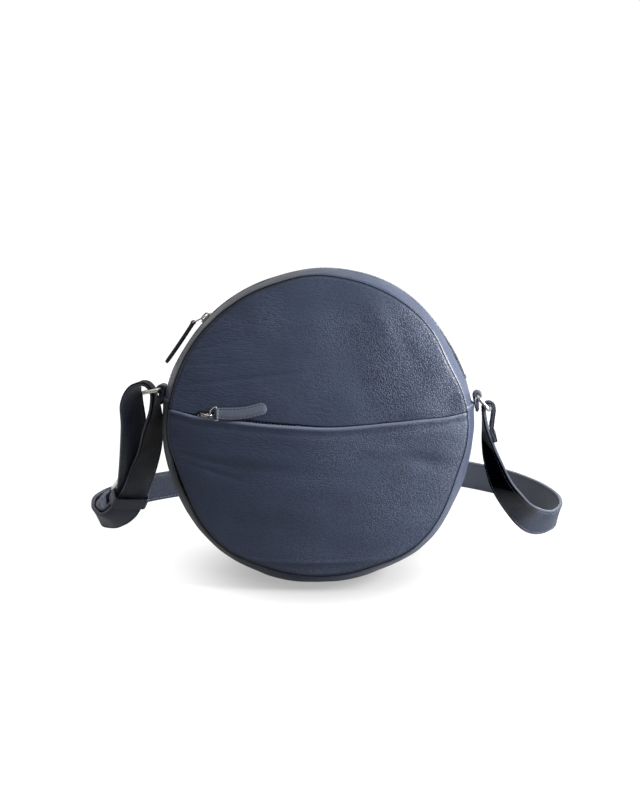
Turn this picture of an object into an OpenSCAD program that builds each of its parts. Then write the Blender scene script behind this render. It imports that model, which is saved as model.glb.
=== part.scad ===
// Round leather shoulder bag with a zipped rim, a zipped front pocket and a long buckled strap.
// Millimetres, +Z up, front towards -Y. The origin is on the pressed flat of the rim that the bag stands
// on, straight under the middle of the round.

/* [Body] */
// Radius of the seams that join the round panels to the rim
seam_r = 118; // [112:1:124]
// Radius of the rim at its middle, where it bulges most
rim_r = 125.5; // [121:0.5:128]
// Depth between the front and back panels at the seams
body_d = 72; // [66:1:80]
// Angle that the bag leans back
lean = 10; // [6:1:12]
// How far the rim is pressed flat where the bag stands
base_press = 2.6; // [1.5:0.1:4]
// Thickness of the leather
leather_t = 1.6; // [1.2:0.1:2]
// Thickness of the textile lining
lining_t = 0.8; // [0.5:0.1:1]
// How far the front and back panels dome outwards
panel_dome = 3; // [2:0.5:3.5]
// How far the pocket front domes outwards
pocket_dome = 11; // [9:1:14]

/* [Rim zip] */
// Angle where the zipped part of the rim starts, right side
zip_from_a = 8.5; // [6:0.5:9]
// Angle where the zipped part of the rim ends, left side
zip_to_a = 171; // [170:0.5:173]
// Angles where the teeth start and end
teeth_from_a = 20; // [18:1:26]
teeth_to_a = 160; // [156:1:162]
// Half of the gap between the two leather strips of the zip
strip_gap = 8; // [7.5:0.5:9]
// Angle of the rim slider where it rests
rim_slider_a = 137; // [134:1:139]

/* [Pocket zip] */
// Half of the straight distance between the ends of the pocket zip
pocket_half = 113; // [110:0.5:113]
// Height of the ends of the pocket zip over the middle of the bag
pocket_zip_v = 14.6; // [8:1:16]
// How far the pocket zip sags in the middle
pocket_sag = 13; // [9:1:15]
// How far the pocket zip comes forward in the middle
pocket_forward = 2; // [1.5:0.5:2.5]
// Sideways place of the pocket slider where it rests
pocket_slider_u = -85; // [-90:1:-60]

/* [Zip parts] */
// Reach of a row of teeth from the middle of the zip
tooth_reach = 3; // [2.8:0.1:3.2]
// Slot between the two rows of teeth
tooth_slot = 1.2; // [1.1:0.1:1.4]
// Thickness of a row of teeth
tooth_t = 2.4; // [2:0.1:2.6]
// Distance from one tooth to the next in a row
tooth_pitch = 2.5; // [2.2:0.1:3.5]
// Thickness of the woven zip tape
tape_t = 0.8; // [0.6:0.1:1]
// Width of a zip tape from the middle of the zip to its sewn edge
tape_w = 14; // [12:0.5:14.5]
// Length of a slider
slider_l = 10.5; // [9.5:0.5:11.5]
// Thickness of a slider's plates
plate_t = 1; // [0.9:0.1:1.1]
// Clearance round the teeth and tapes inside a slider
run_clear = 0.25; // [0.2:0.05:0.3]

/* [Pulls] */
// Length of a puller link between its two bars
link_l = 10.5; // [10:0.5:12]
// Wire thickness of a puller link
link_wire = 1.4; // [1.2:0.1:1.4]
// Length of a leather pull tab
tab_l = 39; // [34:1:40]
// Width of a leather pull tab
tab_w = 9.8; // [9:0.2:11]
// Thickness of a leather pull tab
tab_t = 3; // [2.6:0.1:3.1]

/* [Rings and buckle] */
// Wire thickness of the rings and the buckle
wire_d = 3; // [2.8:0.1:3]
// Inner width of the rings and the buckle
ring_inner_w = 26; // [25.8:0.1:27]
// Distance between the two bars of a ring
ring_reach = 14; // [13.5:0.1:14.5]
// Angles round the bag where the rings are held, right and left
right_ring_a = 11.5; // [11:0.1:12]
left_ring_a = 167.7; // [167.4:0.1:168]
// Directions in which the rings lie, right and left
right_ring_dir = -49; // [-51:1:-47]
left_ring_dir = 192; // [188:1:196]
// Distance between the two end bars of the buckle
buckle_l = 27; // [26.5:0.1:27.2]
// Clearance round the ring bar inside its leather loop
loop_clear = 0.08; // [0.05:0.01:0.1]

/* [Strap] */
// Width of the shoulder strap
strap_w = 25; // [22:0.5:25]
// Thickness of the shoulder strap, two sewn layers
strap_t = 3.2; // [2.4:0.1:3.2]
// Length of the sliding keeper
keeper_l = 12; // [9:1:13]
// Thickness of the keeper's leather
keeper_t = 1.8; // [1.4:0.1:2]

/* [Hidden] */
$fn = 128;
fine_fn = 48;
arc_fn = 720;

navy = "#2f3a52";
navy_dark = "#1d2433";
lining_gray = "#5b5f68";
tape_navy = "#1b2130";
silver = "#c9ccd1";
tooth_silver = "#a7a49b";

half_d = body_d / 2;
center_h = rim_r * cos(lean) - base_press;
lay_gap = 0.2; // gap between layers that lie on each other
over = 1; // overrun of cuts
far = 4 * rim_r; // reach of cutting blocks
rim_shares = [-1, -0.75, -0.5, -0.25, 0, 0.25, 0.5, 0.75, 1];
dome_shares = [0, 0.15, 0.3, 0.45, 0.6, 0.75, 0.9, 1];

// Frames of the leaning bag and of the tilted arc of the pocket zip

module in_bag() {
    translate([0, 0, center_h]) rotate([90 - lean, 0, 0]) children();
}

pocket_sagitta = norm([pocket_sag, pocket_forward]);
pocket_arc_r = (pocket_half * pocket_half + pocket_sagitta * pocket_sagitta) / (2 * pocket_sagitta);
pocket_tilt = atan2(pocket_forward, pocket_sag);
pocket_chain_back = 1.5; // depth of the pocket zip's ends behind the seam plane
pocket_end_w = half_d - pocket_chain_back;
pocket_back = pocket_arc_r - pocket_sagitta;

// Polar frame of the pocket zip: x runs down from the arc's middle, y to the right, z forward
module in_pocket_arc() {
    in_bag()
        translate([0, pocket_zip_v + pocket_back * cos(pocket_tilt), pocket_end_w - pocket_back * sin(pocket_tilt)])
        rotate([-pocket_tilt, 0, 0])
        rotate([0, 0, -90])
        children();
}

// Everything over a level height
module over_height(h) {
    translate([-far, -far, h]) cube([2 * far, 2 * far, 2 * far]);
}

// Radius of the bulging rim at depth w, inset by some thickness
function rim_at(w, inset) = rim_r - (rim_r - seam_r) * pow(w / half_d, 2) - inset;

// Solid barrel inside the rim's skin
module barrel(inset, half) {
    side = [for (s = rim_shares) [rim_at(s * half, inset), s * half]];
    rotate_extrude() polygon(concat([[0, -half]], side, [[0, half]]));
}

// Pie slice between two angles, through the whole depth
module slice(from_a, to_a) {
    steps = 8;
    arc = [for (i = [0:steps]) let (a = from_a + (to_a - from_a) * i / steps) [far * cos(a), far * sin(a)]];
    translate([0, 0, -far]) linear_extrude(2 * far) polygon(concat([[0, 0]], arc));
}

// Skin of the whole rim, pressed flat at the floor
module rim_skin(inset, skin_t) {
    difference() {
        intersection() {
            in_bag() barrel(inset, half_d);
            over_height(inset);
        }
        intersection() {
            in_bag() barrel(inset + skin_t, half_d + over);
            over_height(inset + skin_t);
        }
    }
}

// Domed round panel with its inner face at depth w0 on the seam circle
module domed_shell(w0, dome, skin_t, r) {
    inner = [for (s = dome_shares) [s * r, w0 + dome * (1 - s * s)]];
    outer = [for (i = [len(dome_shares) - 1:-1:0]) inner[i] + [0, skin_t]];
    rotate_extrude() polygon(concat(inner, outer));
}

// Space under the same dome, back to depth w0
module under_dome(w0, dome, base_w, r) {
    inner = [for (s = dome_shares) [s * r, w0 + dome * (1 - s * s)]];
    rotate_extrude() polygon(concat([[0, base_w]], [[r, base_w]], [for (i = [len(dome_shares) - 1:-1:0]) inner[i]]));
}

// Body panels

hem_w = 4.6; // width of the folded hems along the pocket zip
hem_clear = 1.25; // gap between a slider's side and a hem
lip_drop = 6.2; // the pocket lip lies this far under the middle of the zip
hem_r = seam_r - leather_t - lining_t - 4 * lay_gap; // the hems stay inside the rim's lining
slider_w = 2 * (tooth_reach + run_clear + plate_t);
hem_start = slider_w / 2 + hem_clear;

// Folded hem that joins a panel to a pocket tape; side is 1 for the lip and -1 for the upper panel
module pocket_hem(dome, side) {
    from_r = pocket_arc_r + side * (side > 0 ? lip_drop : hem_start);
    to_r = from_r + side * hem_w;
    intersection() {
        in_bag() under_dome(half_d + leather_t / 2, dome, 0, hem_r);
        in_pocket_arc() translate([0, 0, tape_t / 2]) difference() {
            cylinder(r = max(from_r, to_r), h = far, $fn = arc_fn);
            translate([0, 0, -over]) cylinder(r = min(from_r, to_r), h = far + 2 * over, $fn = arc_fn);
        }
    }
}

module front_upper_panel() {
    color(navy) union() {
        intersection() {
            in_bag() domed_shell(half_d, panel_dome, leather_t, seam_r);
            in_pocket_arc() cylinder(r = pocket_arc_r - hem_start, h = far, center = true, $fn = arc_fn);
        }
        pocket_hem(panel_dome, -1);
    }
}

module pocket_front_panel() {
    color(navy) union() {
        difference() {
            in_bag() domed_shell(half_d, pocket_dome, leather_t, seam_r);
            in_pocket_arc() cylinder(r = pocket_arc_r + lip_drop, h = far, center = true, $fn = arc_fn);
        }
        pocket_hem(pocket_dome, 1);
    }
}

module back_panel() {
    color(navy) intersection() {
        in_bag() mirror([0, 0, 1]) domed_shell(half_d, panel_dome, leather_t, seam_r);
        over_height(0);
    }
}

module lower_gusset() {
    color(navy) difference() {
        rim_skin(0, leather_t);
        in_bag() slice(zip_from_a, zip_to_a);
    }
}

// One leather strip beside the rim zip; side is 1 in front and -1 behind
module zip_strip(side) {
    strip_w = half_d - strip_gap;
    color(navy) intersection() {
        rim_skin(0, leather_t);
        in_bag() slice(zip_from_a, zip_to_a);
        in_bag() translate([-far, -far, side > 0 ? strip_gap : -strip_gap - strip_w])
            cube([2 * far, 2 * far, strip_w]);
    }
}

// Linings

lining_inset = leather_t + lay_gap;
wall_back = 5.2; // the pocket's inner wall stands this far behind the seam plane
wall_w = half_d - wall_back;
wall_r = seam_r - leather_t - lining_t - 2 * lay_gap;
lining_floor = leather_t + lining_t + 2 * lay_gap;

// Flat round lining sheet whose front face is at depth w
module lining_disc(w) {
    intersection() {
        in_bag() translate([0, 0, w - lining_t]) cylinder(r = wall_r - lay_gap, h = lining_t);
        over_height(lining_floor);
    }
}

module gusset_lining() {
    color(lining_gray) difference() {
        intersection() {
            in_bag() barrel(lining_inset, half_d - lay_gap);
            over_height(lining_inset);
        }
        intersection() {
            in_bag() barrel(lining_inset + lining_t, half_d + over);
            over_height(lining_inset + lining_t);
        }
        intersection() {
            in_bag() slice(zip_from_a, zip_to_a);
            in_bag() translate([-far, -far, -tape_w - lay_gap]) cube([2 * far, 2 * far, 2 * (tape_w + lay_gap)]);
        }
    }
}

module front_lining() {
    color(lining_gray) lining_disc(wall_w - lining_t - lay_gap);
}

module back_lining() {
    color(lining_gray) lining_disc(-half_d + lining_t + lay_gap);
}

// Inner wall of the pocket, with the fold that climbs to the upper tape
module pocket_lining() {
    pocket_tape_top = pocket_arc_r - hem_start - hem_w;
    color(lining_gray) union() {
        difference() {
            lining_disc(wall_w);
            in_pocket_arc() cylinder(r = pocket_tape_top - lining_t, h = far, center = true, $fn = arc_fn);
        }
        intersection() {
            in_bag() translate([0, 0, wall_w - lining_t]) cylinder(r = wall_r - lay_gap, h = body_d);
            in_pocket_arc() translate([0, 0, -far - tape_t / 2]) difference() {
                cylinder(r = pocket_tape_top, h = far, $fn = arc_fn);
                translate([0, 0, -over]) cylinder(r = pocket_tape_top - lining_t, h = far + 2 * over, $fn = arc_fn);
            }
        }
    }
}

// Zips

tape_r = rim_at(tape_w, leather_t) - tape_t / 2 - 1.5 * lay_gap; // middle of the rim tapes and teeth
gap_depth_share = 0.25; // depth of the notch between teeth as a share of their thickness
tooth_share = 0.6; // length of a tooth as a share of the pitch

// Outline of a row of teeth on an arc: plain at base_r, notched between top_r and gap_r
function comb(base_r, gap_r, top_r, from_a, to_a, n) =
    let (step = (to_a - from_a) / n)
    concat(
        [for (i = [0:n - 1]) for (p = [[top_r, i], [top_r, i + tooth_share], [gap_r, i + tooth_share], [gap_r, i + 1]])
            [p[0] * cos(from_a + p[1] * step), p[0] * sin(from_a + p[1] * step)]],
        [for (i = [n:-1:0]) [base_r * cos(from_a + i * step), base_r * sin(from_a + i * step)]]
    );

// Ring sector with a box section, lying between two radii and two heights
module arc_band(r0, r1, z0, z1, from_a, to_a, n) {
    outer = [for (i = [0:n]) let (a = from_a + (to_a - from_a) * i / n) [r1 * cos(a), r1 * sin(a)]];
    inner = [for (i = [n:-1:0]) let (a = from_a + (to_a - from_a) * i / n) [r0 * cos(a), r0 * sin(a)]];
    translate([0, 0, z0]) linear_extrude(z1 - z0) polygon(concat(outer, inner));
}

rim_tape_steps = 96;
rim_tooth_count = round((teeth_to_a - teeth_from_a) / 360 * 2 * PI * tape_r / tooth_pitch);

module rim_tape(side) {
    low = side > 0 ? tooth_reach : -tape_w;
    color(tape_navy) in_bag()
        arc_band(tape_r - tape_t / 2, tape_r + tape_t / 2, low, low + tape_w - tooth_reach,
            zip_from_a, zip_to_a, rim_tape_steps);
}

module rim_teeth(side) {
    half = tooth_t / 2;
    low = side > 0 ? tooth_slot / 2 : -tooth_reach;
    color(tooth_silver) in_bag() translate([0, 0, low])
        linear_extrude(tooth_reach - tooth_slot / 2)
        polygon(comb(tape_r - half, tape_r + half - gap_depth_share * tooth_t, tape_r + half,
            teeth_from_a, teeth_to_a, rim_tooth_count));
}

stop_l = 3; // length of a zip stop
stop_wall = 0.6; // height of a stop over the teeth
stop_gap = 0.1; // gap between a stop and the last teeth

// Bar that closes the rim zip at each end
module rim_zip_stops() {
    stop_a = stop_l / tape_r * 180 / PI;
    gap_a = stop_gap / tape_r * 180 / PI;
    r0 = tape_r - tooth_t / 2 - stop_wall;
    r1 = tape_r + tooth_t / 2 + stop_wall;
    color(silver) in_bag() for (a = [teeth_from_a - gap_a - stop_a, teeth_to_a + gap_a])
        arc_band(r0, r1, -tooth_reach + lay_gap, tooth_reach - lay_gap, a, a + stop_a, 2);
}

pocket_end_a = asin(pocket_half / pocket_arc_r);
pocket_teeth_a = pocket_end_a - (stop_l + 2 * stop_gap) / pocket_arc_r * 180 / PI;
pocket_tooth_count = round(2 * pocket_teeth_a / 360 * 2 * PI * pocket_arc_r / tooth_pitch);
pocket_tape_steps = 48;

module pocket_tape(side) {
    edge = pocket_arc_r + side * (tooth_reach + stop_gap / 2);
    sewn = pocket_arc_r + side * (hem_start + hem_w);
    color(tape_navy) in_pocket_arc()
        arc_band(min(edge, sewn), max(edge, sewn), -tape_t / 2, tape_t / 2,
            -pocket_end_a, pocket_end_a, pocket_tape_steps);
}

module pocket_teeth(side) {
    base = pocket_arc_r + side * tooth_reach;
    top = pocket_arc_r + side * tooth_slot / 2;
    color(tooth_silver) in_pocket_arc() translate([0, 0, -tooth_t / 2])
        linear_extrude(tooth_t)
        polygon(comb(base, top + side * gap_depth_share * tooth_t, top,
            -pocket_teeth_a, pocket_teeth_a, pocket_tooth_count));
}

module pocket_zip_stops() {
    stop_a = stop_l / pocket_arc_r * 180 / PI;
    gap_a = stop_gap / pocket_arc_r * 180 / PI;
    half = tooth_t / 2 + stop_wall;
    reach = tooth_reach - lay_gap;
    color(silver) in_pocket_arc() for (a = [-pocket_teeth_a - gap_a - stop_a, pocket_teeth_a + gap_a])
        arc_band(pocket_arc_r - reach, pocket_arc_r + reach, -half, half, a, a + stop_a, 2);
}

// Sliders: x runs along the zip, y across it, z away from the bag

plate_shares = [[-0.5, -0.36], [0.1, -0.5], [0.42, -0.5], [0.5, -0.28], [0.5, 0.28], [0.42, 0.5], [0.1, 0.5], [-0.5, 0.36]];
flange_shares = [-0.2, 0.4]; // start and end of the side flanges along the slider
post_w = 0.8; // wedge that runs in the slot between the teeth
post_l = 3;
bridge_l = 7;
bridge_w = 1.8;
bridge_t = 0.9;
bridge_post = 1.2;
pivot_clear = 0.2;
plate_z = tooth_t / 2 + run_clear;
plate_top = plate_z + plate_t;
pivot_z = plate_top + link_wire / 2 + pivot_clear;
window_h = link_wire + 2.5 * pivot_clear;

module slider() {
    outline = [for (p = plate_shares) [p[0] * slider_l, p[1] * slider_w]];
    flange_y = tooth_reach + run_clear;
    flange_x = flange_shares[0] * slider_l;
    flange_l = (flange_shares[1] - flange_shares[0]) * slider_l;
    flange_h = plate_z - tape_t / 2 - run_clear;
    color(silver) union() {
        translate([0, 0, plate_z]) linear_extrude(plate_t) polygon(outline);
        translate([0, 0, -plate_top]) linear_extrude(plate_t) polygon(outline);
        translate([slider_l / 2 - post_l - plate_t, -post_w / 2, -plate_top])
            cube([post_l, post_w, 2 * plate_top]);
        for (y = [-flange_y - plate_t, flange_y]) {
            translate([flange_x, y, plate_z - flange_h]) cube([flange_l, plate_t, flange_h + plate_t / 2]);
            translate([flange_x, y, -plate_z - plate_t / 2]) cube([flange_l, plate_t, flange_h + plate_t / 2]);
        }
        difference() {
            translate([-bridge_l / 2, -bridge_w / 2, plate_z])
                cube([bridge_l, bridge_w, plate_t + window_h + bridge_t]);
            translate([-bridge_l / 2 + bridge_post, -bridge_w / 2 - over, plate_top])
                cube([bridge_l - 2 * bridge_post, bridge_w + 2 * over, window_h]);
        }
    }
}

tab_bore_r = link_wire / 2 + loop_clear;
tab_eye_r = tab_t / 2 + tab_bore_r / 2;
link_near = 2.6; // half width of the link at the slider
link_stem = 2.5; // length over which the link stays that narrow before it forks
link_far = tab_w / 2 + pivot_clear + link_wire / 2 + lay_gap / 2;

// Forked link: narrow round bar under the bridge, wide round bar in the tab; x runs along it
module pull_link() {
    half = link_wire / 2;
    shoulder = link_l - tab_eye_r - pivot_clear;
    color(silver) union() {
        for (bar = [[0, link_near], [link_l, link_far]])
            translate([bar[0], bar[1] + half, 0]) rotate([90, 0, 0])
                cylinder(d = link_wire, h = 2 * (bar[1] + half), $fn = fine_fn);
        for (side = [-1, 1]) translate([0, 0, -half]) linear_extrude(link_wire)
            polygon([[0, side * (link_near - half)], [0, side * (link_near + half)],
                [link_stem - half, side * (link_near + half)], [shoulder - half, side * (link_far + half)],
                [link_l, side * (link_far + half)], [link_l, side * (link_far - half)],
                [shoulder, side * (link_far - half)], [link_stem, side * (link_near - half)]]);
    }
}

// Leather tab folded round the wide bar of its link, at x = 0
module pull_tab() {
    color(navy_dark) difference() {
        union() {
            rotate([90, 0, 0]) cylinder(r = tab_eye_r, h = tab_w, center = true, $fn = fine_fn);
            translate([0, -tab_w / 2, -tab_t / 2]) cube([tab_l - tab_w / 2, tab_w, tab_t]);
            translate([tab_l - tab_w / 2, 0, -tab_t / 2]) cylinder(d = tab_w, h = tab_t, $fn = fine_fn);
        }
        rotate([90, 0, 0]) cylinder(r = tab_bore_r, h = tab_w + 2 * over, center = true, $fn = fine_fn);
    }
}

// Places of the pulls as they hang in rest
rim_link_pitch = 18; // the rim link stands off the zip by this angle
rim_tab_pitch = -29; // fold between the rim link and its tab
pocket_yaw = 18; // the pocket pull points this much above the line of its zip
pocket_link_pitch = 38;
pocket_tab_pitch = -37.5;
pocket_slider_a = asin(pocket_slider_u / pocket_arc_r);

module at_rim_slider() {
    in_bag() rotate([0, 0, rim_slider_a]) translate([tape_r, 0, 0]) rotate([90, 0, 90]) children();
}

module at_rim_link() {
    at_rim_slider() translate([0, 0, pivot_z]) rotate([0, -rim_link_pitch, 0]) children();
}

module at_rim_tab() {
    at_rim_link() translate([link_l, 0, 0]) rotate([0, -rim_tab_pitch, 0]) children();
}

module at_pocket_slider() {
    in_pocket_arc() rotate([0, 0, pocket_slider_a]) translate([pocket_arc_r, 0, 0]) rotate([0, 0, 90]) children();
}

module at_pocket_link() {
    at_pocket_slider() translate([0, 0, pivot_z]) rotate([0, 0, pocket_yaw]) rotate([0, -pocket_link_pitch, 0])
        children();
}

module at_pocket_tab() {
    at_pocket_link() translate([link_l, 0, 0]) rotate([0, -pocket_tab_pitch, 0]) children();
}

// Rings and their leather loops

loop_t = 1.4; // thickness of a ring tab's leather
tail_l = 9; // sewn tail of a ring tab
loop_w = 22;
corner_r = 3; // bend of a ring's or the buckle's corners
bore_r = wire_d / 2 + loop_clear;
loop_r = bore_r + loop_t;
ring_r0 = rim_r + loop_r + lay_gap / 2;

// Closed wire frame: x runs from bar to bar, bars lie along z, first bar at the origin
module wire_frame(reach, inner_w) {
    bar = inner_w + wire_d - 2 * corner_r;
    side = reach - 2 * corner_r;
    z_side = (inner_w + wire_d) / 2;
    union() {
        for (x = [0, reach]) translate([x, 0, -bar / 2]) cylinder(d = wire_d, h = bar, $fn = fine_fn);
        for (z = [-z_side, z_side])
            translate([corner_r, 0, z]) rotate([0, 90, 0]) cylinder(d = wire_d, h = side, $fn = fine_fn);
        for (c = [[corner_r, 1, 90], [reach - corner_r, 1, 0], [reach - corner_r, -1, 270], [corner_r, -1, 180]])
            translate([c[0], 0, c[1] * bar / 2]) rotate([90, 0, 0]) rotate([0, 0, c[2]])
                rotate_extrude(angle = 90) translate([corner_r, 0]) circle(d = wire_d, $fn = fine_fn);
    }
}

// Leather loop at the rim; side is 1 where its tail runs with the angle and -1 against it
module ring_tab(a, side) {
    color(navy) in_bag() rotate([0, 0, a]) difference() {
        union() {
            translate([ring_r0, 0, -loop_w / 2]) cylinder(r = loop_r, h = loop_w, $fn = fine_fn);
            translate([ring_r0 - loop_r, side > 0 ? 0 : -tail_l, -loop_w / 2]) cube([loop_t, tail_l, loop_w]);
        }
        translate([ring_r0, 0, -loop_w]) cylinder(r = bore_r, h = 2 * loop_w, $fn = fine_fn);
    }
}

module ring(a, dir) {
    color(silver) in_bag() translate([ring_r0 * cos(a), ring_r0 * sin(a), 0]) rotate([0, 0, dir])
        wire_frame(ring_reach, ring_inner_w);
}

// Shoulder strap: hand-laid route of its middle line with the direction of its width

right_fold_route = [
    [[140.4, 4.6, 112], [0, -1, 0.1]], [[138, 3.8, 119.5], [0, -1, 0.15]], [[138.5, 3, 128], [0, -1, 0.17]],
    [[139.1, 2.6, 135.8], [0, -1, 0.17]], [[138.1, 3.1, 138.7], [0, -1, 0.17]], [[135.2, 3.3, 139.9], [0, -1, 0.17]],
    [[132.3, 3.1, 138.7], [0, -1, 0.17]], [[131.3, 2.6, 135.8], [0, -1, 0.17]], [[132.2, 2.8, 128], [0.03, -1, 0.15]],
    [[133.6, 3.6, 119], [0.15, -0.98, 0]]
];
right_leg_route = [
    [[136, 6, 107], [0.38, -0.9, -0.2]], [[140, 14, 90], [0.64, -0.73, -0.25]], [[145, 25, 73], [0.79, -0.59, -0.18]],
    [[151.8, 40, 56], [0.9, -0.43, 0.02]], [[162.7, 61, 36], [0.91, -0.31, 0.27]], [[176, 82, 19], [0.68, -0.01, 0.73]],
    [[188, 98, 12.7], [0.48, -0.13, 0.87]], [[197, 117, 12.8], [0.25, -0.3, 1]]
];
rear_route = [
    [[196, 144, 12.8], [0.1, -0.05, 1]], [[180, 182, 12.7], [0, 0, 1]], [[148, 219, 12.7], [0, 0, 1]],
    [[90, 252, 12.7], [0, 0, 1]], [[10, 264, 12.7], [0, 0, 1]], [[-70, 243, 12.7], [0, 0, 1]],
    [[-130, 199, 13], [0, 0, 1]], [[-160, 170, 15], [0, 0, 1]]
];
buckle_route = [
    [[-178.5, 143, 16.4], [0, 0, 1]], [[-185.5, 129.5, 16.4], [0, 0, 1]], [[-192.3, 116.5, 16.4], [0, 0, 1]],
    [[-196, 104.6, 14.5], [-0.25, -0.15, 1]], [[-193.5, 94, 11.7], [-0.35, -0.5, 0.9]],
    [[-182.5, 83, 12], [-0.6, -0.6, 0.65]]
];
run_leg_route = [
    [[-171.3, 79, 20], [-0.96, -0.4, 0.27]], [[-164.4, 76, 31], [-0.97, -0.38, 0.12]], [[-157.2, 68, 45], [-0.9, -0.55, 0.05]],
    [[-148.3, 50, 68], [-0.88, -0.6, 0]], [[-140, 31, 92], [-0.6, -0.8, 0]], [[-135.2, 13, 116], [-0.36, -0.92, 0.1]],
    [[-132.5, 3.6, 136], [-0.05, -1, 0.17]]
];
arch_route = [[[-132.8, 4.4, 145], [0, -1, 0.17]],
    [[-137.2, 5.5, 150.9], [0, -1, 0.17]],
    [[-143.6, 5.6, 151.6], [-0.05, -1, 0.17]],
    [[-148.9, 5.6, 147], [-0.28, -0.96, 0.15]],
    [[-151.2, 7.5, 136], [-0.55, -0.84, 0.1]]];
end_leg_route = [
    [[-151.2, 16, 116], [-0.62, -0.78, 0.05]], [[-154.3, 34, 90], [-0.72, -0.7, 0]], [[-158, 54, 66], [-0.86, -0.55, 0]],
    [[-162.6, 73, 45], [-0.95, -0.48, 0.05]], [[-167, 81, 32], [-0.97, -0.38, 0.12]], [[-172.8, 84.2, 22.5], [-0.96, -0.42, 0.28]],
    [[-179.9, 86, 16.6], [-0.74, -0.58, 0.52]], [[-186.2, 91.2, 14.6], [-0.48, -0.55, 0.75]],
    [[-190, 97.5, 14.2], [-0.3, -0.4, 0.9]], [[-190.4, 104.3, 15.4], [-0.12, -0.1, 1]]
];
chape_route = [
    [[-189.8, 111.6, 16.3], [0, 0, 1]], [[-188, 116.9, 16.4], [0, 0, 1]], [[-185.7, 118.8, 16.4], [0, 0, 1]],
    [[-182.8, 118.6, 16.4], [0, 0, 1]], [[-181.1, 116.3, 16.4], [0, 0, 1]], [[-181.4, 113.4, 16.4], [0, 0, 1]],
    [[-183.6, 109.2, 16.4], [0, 0, 1]], [[-184.6, 105.6, 16.3], [0, 0, 1]]
];
strap_route = concat(right_fold_route, right_leg_route, rear_route, buckle_route, run_leg_route, arch_route,
    end_leg_route, chape_route);
route_steps = 4; // rings between two points of the route

function unit(v) = v / norm(v);

// Smooth curve through p1 and p2, at share t between them
function smooth(p0, p1, p2, p3, t) =
    (2 * p1 + (p2 - p0) * t + (2 * p0 - 5 * p1 + 4 * p2 - p3) * t * t + (3 * p1 - p0 - 3 * p2 + p3) * t * t * t) / 2;

// Points or width directions along a route; k picks which
function along(route, k, steps) =
    let (n = len(route), v = [for (q = route) q[k]])
    let (ext = concat([2 * v[0] - v[1]], v, [2 * v[n - 1] - v[n - 2]]))
    concat([for (i = [1:n - 1]) for (j = [0:steps - 1]) smooth(ext[i - 1], ext[i], ext[i + 1], ext[i + 2], j / steps)],
        [v[n - 1]]);

// Ribbon of a given width and thickness swept along a route
module ribbon(route, w, t, steps) {
    mid = along(route, 0, steps);
    wide = along(route, 1, steps);
    n = len(mid);
    dirs = [for (i = [0:n - 1]) unit(mid[min(i + 1, n - 1)] - mid[max(i - 1, 0)])];
    across = [for (i = [0:n - 1]) unit(wide[i] - (wide[i] * dirs[i]) * dirs[i])];
    face = [for (i = [0:n - 1]) cross(across[i], dirs[i])];
    points = [for (i = [0:n - 1]) for (s = [[-1, -1], [1, -1], [1, 1], [-1, 1]])
        mid[i] + across[i] * (s[0] * w / 2) + face[i] * (s[1] * t / 2)];
    sides = [for (i = [0:n - 2]) for (j = [0:3]) let (a = 4 * i + j, b = 4 * i + (j + 1) % 4)
        for (f = [[a, b, b + 4], [a, b + 4, a + 4]]) f];
    ends = [[0, 2, 1], [0, 3, 2], [4 * n - 4, 4 * n - 3, 4 * n - 2], [4 * n - 4, 4 * n - 2, 4 * n - 1]];
    polyhedron(points, concat(sides, ends), convexity = 10);
}

// Buckle: x runs from its heel bar to its far bar, y up, z towards the inside of the strap's turn
buckle_mid = [-185.5, 129.5, 16.4];
buckle_heading = 62.5;
buckle_heel_off = 7.4; // heel bar beside the strap's middle
buckle_far_off = -3.6; // far bar on the other side of the strap
buckle_tilt = asin((buckle_heel_off - buckle_far_off) / buckle_l);
buckle_run = buckle_l * cos(buckle_tilt);
tongue_d = 2.2;
tongue_clear = 0.1;
tongue_eye_t = 1;
tongue_rise = asin((wire_d / 2 + tongue_d / 2 + tongue_clear) / buckle_l);
cross_a = buckle_tilt + tongue_rise; // slant at which the tongue passes through the strap
slot_play = 1.1;
slot_l = strap_t / sin(cross_a) + tongue_d / tan(cross_a) + 2 * slot_play; // punched slot for the tongue
slot_h = 3.4;
chape_cut_h = 5; // cut-out of the fold round the tongue's eye

module at_buckle() {
    translate(buckle_mid) rotate([0, 0, buckle_heading]) rotate([90, 0, 0])
        translate([-buckle_run / 2, 0, buckle_heel_off]) rotate([0, buckle_tilt, 0]) children();
}

module shoulder_strap() {
    color(navy) difference() {
        ribbon(strap_route, strap_w, strap_t, route_steps);
        at_buckle() rotate([0, tongue_rise, 0]) translate([buckle_heel_off / sin(cross_a) - slot_l / 2, -slot_h / 2, -buckle_l / 2])
            cube([slot_l, slot_h, buckle_l]);
        at_buckle() translate([-2 * wire_d, -chape_cut_h / 2, -wire_d])
            cube([4.5 * wire_d, chape_cut_h, 2.5 * wire_d]);
    }
}

keeper_route = [[[-162.74, 74.25, 38.49], [-0.93, -0.48, 0.1]], [[-167.14, 79.85, 28.29], [-0.95, -0.42, 0.16]]];
keeper_play_w = 2.8; // play of the strap's two layers inside the keeper, across and through
keeper_play_t = 5;
keeper_room_w = strap_w + keeper_play_w;
keeper_room_t = 2 * strap_t + keeper_play_t;

module strap_keeper() {
    axis = unit(keeper_route[1][0] - keeper_route[0][0]);
    mid = (keeper_route[0][0] + keeper_route[1][0]) / 2;
    body = [[mid - axis * keeper_l / 2, keeper_route[0][1]], [mid + axis * keeper_l / 2, keeper_route[1][1]]];
    room = [[mid - axis * keeper_l, keeper_route[0][1]], [mid + axis * keeper_l, keeper_route[1][1]]];
    color(navy) difference() {
        ribbon(body, keeper_room_w + 2 * keeper_t, keeper_room_t + 2 * keeper_t, 1);
        ribbon(room, keeper_room_w, keeper_room_t, 1);
    }
}

module buckle_frame() {
    color(silver) at_buckle() rotate([90, 0, 0]) wire_frame(buckle_l, ring_inner_w);
}

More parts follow.
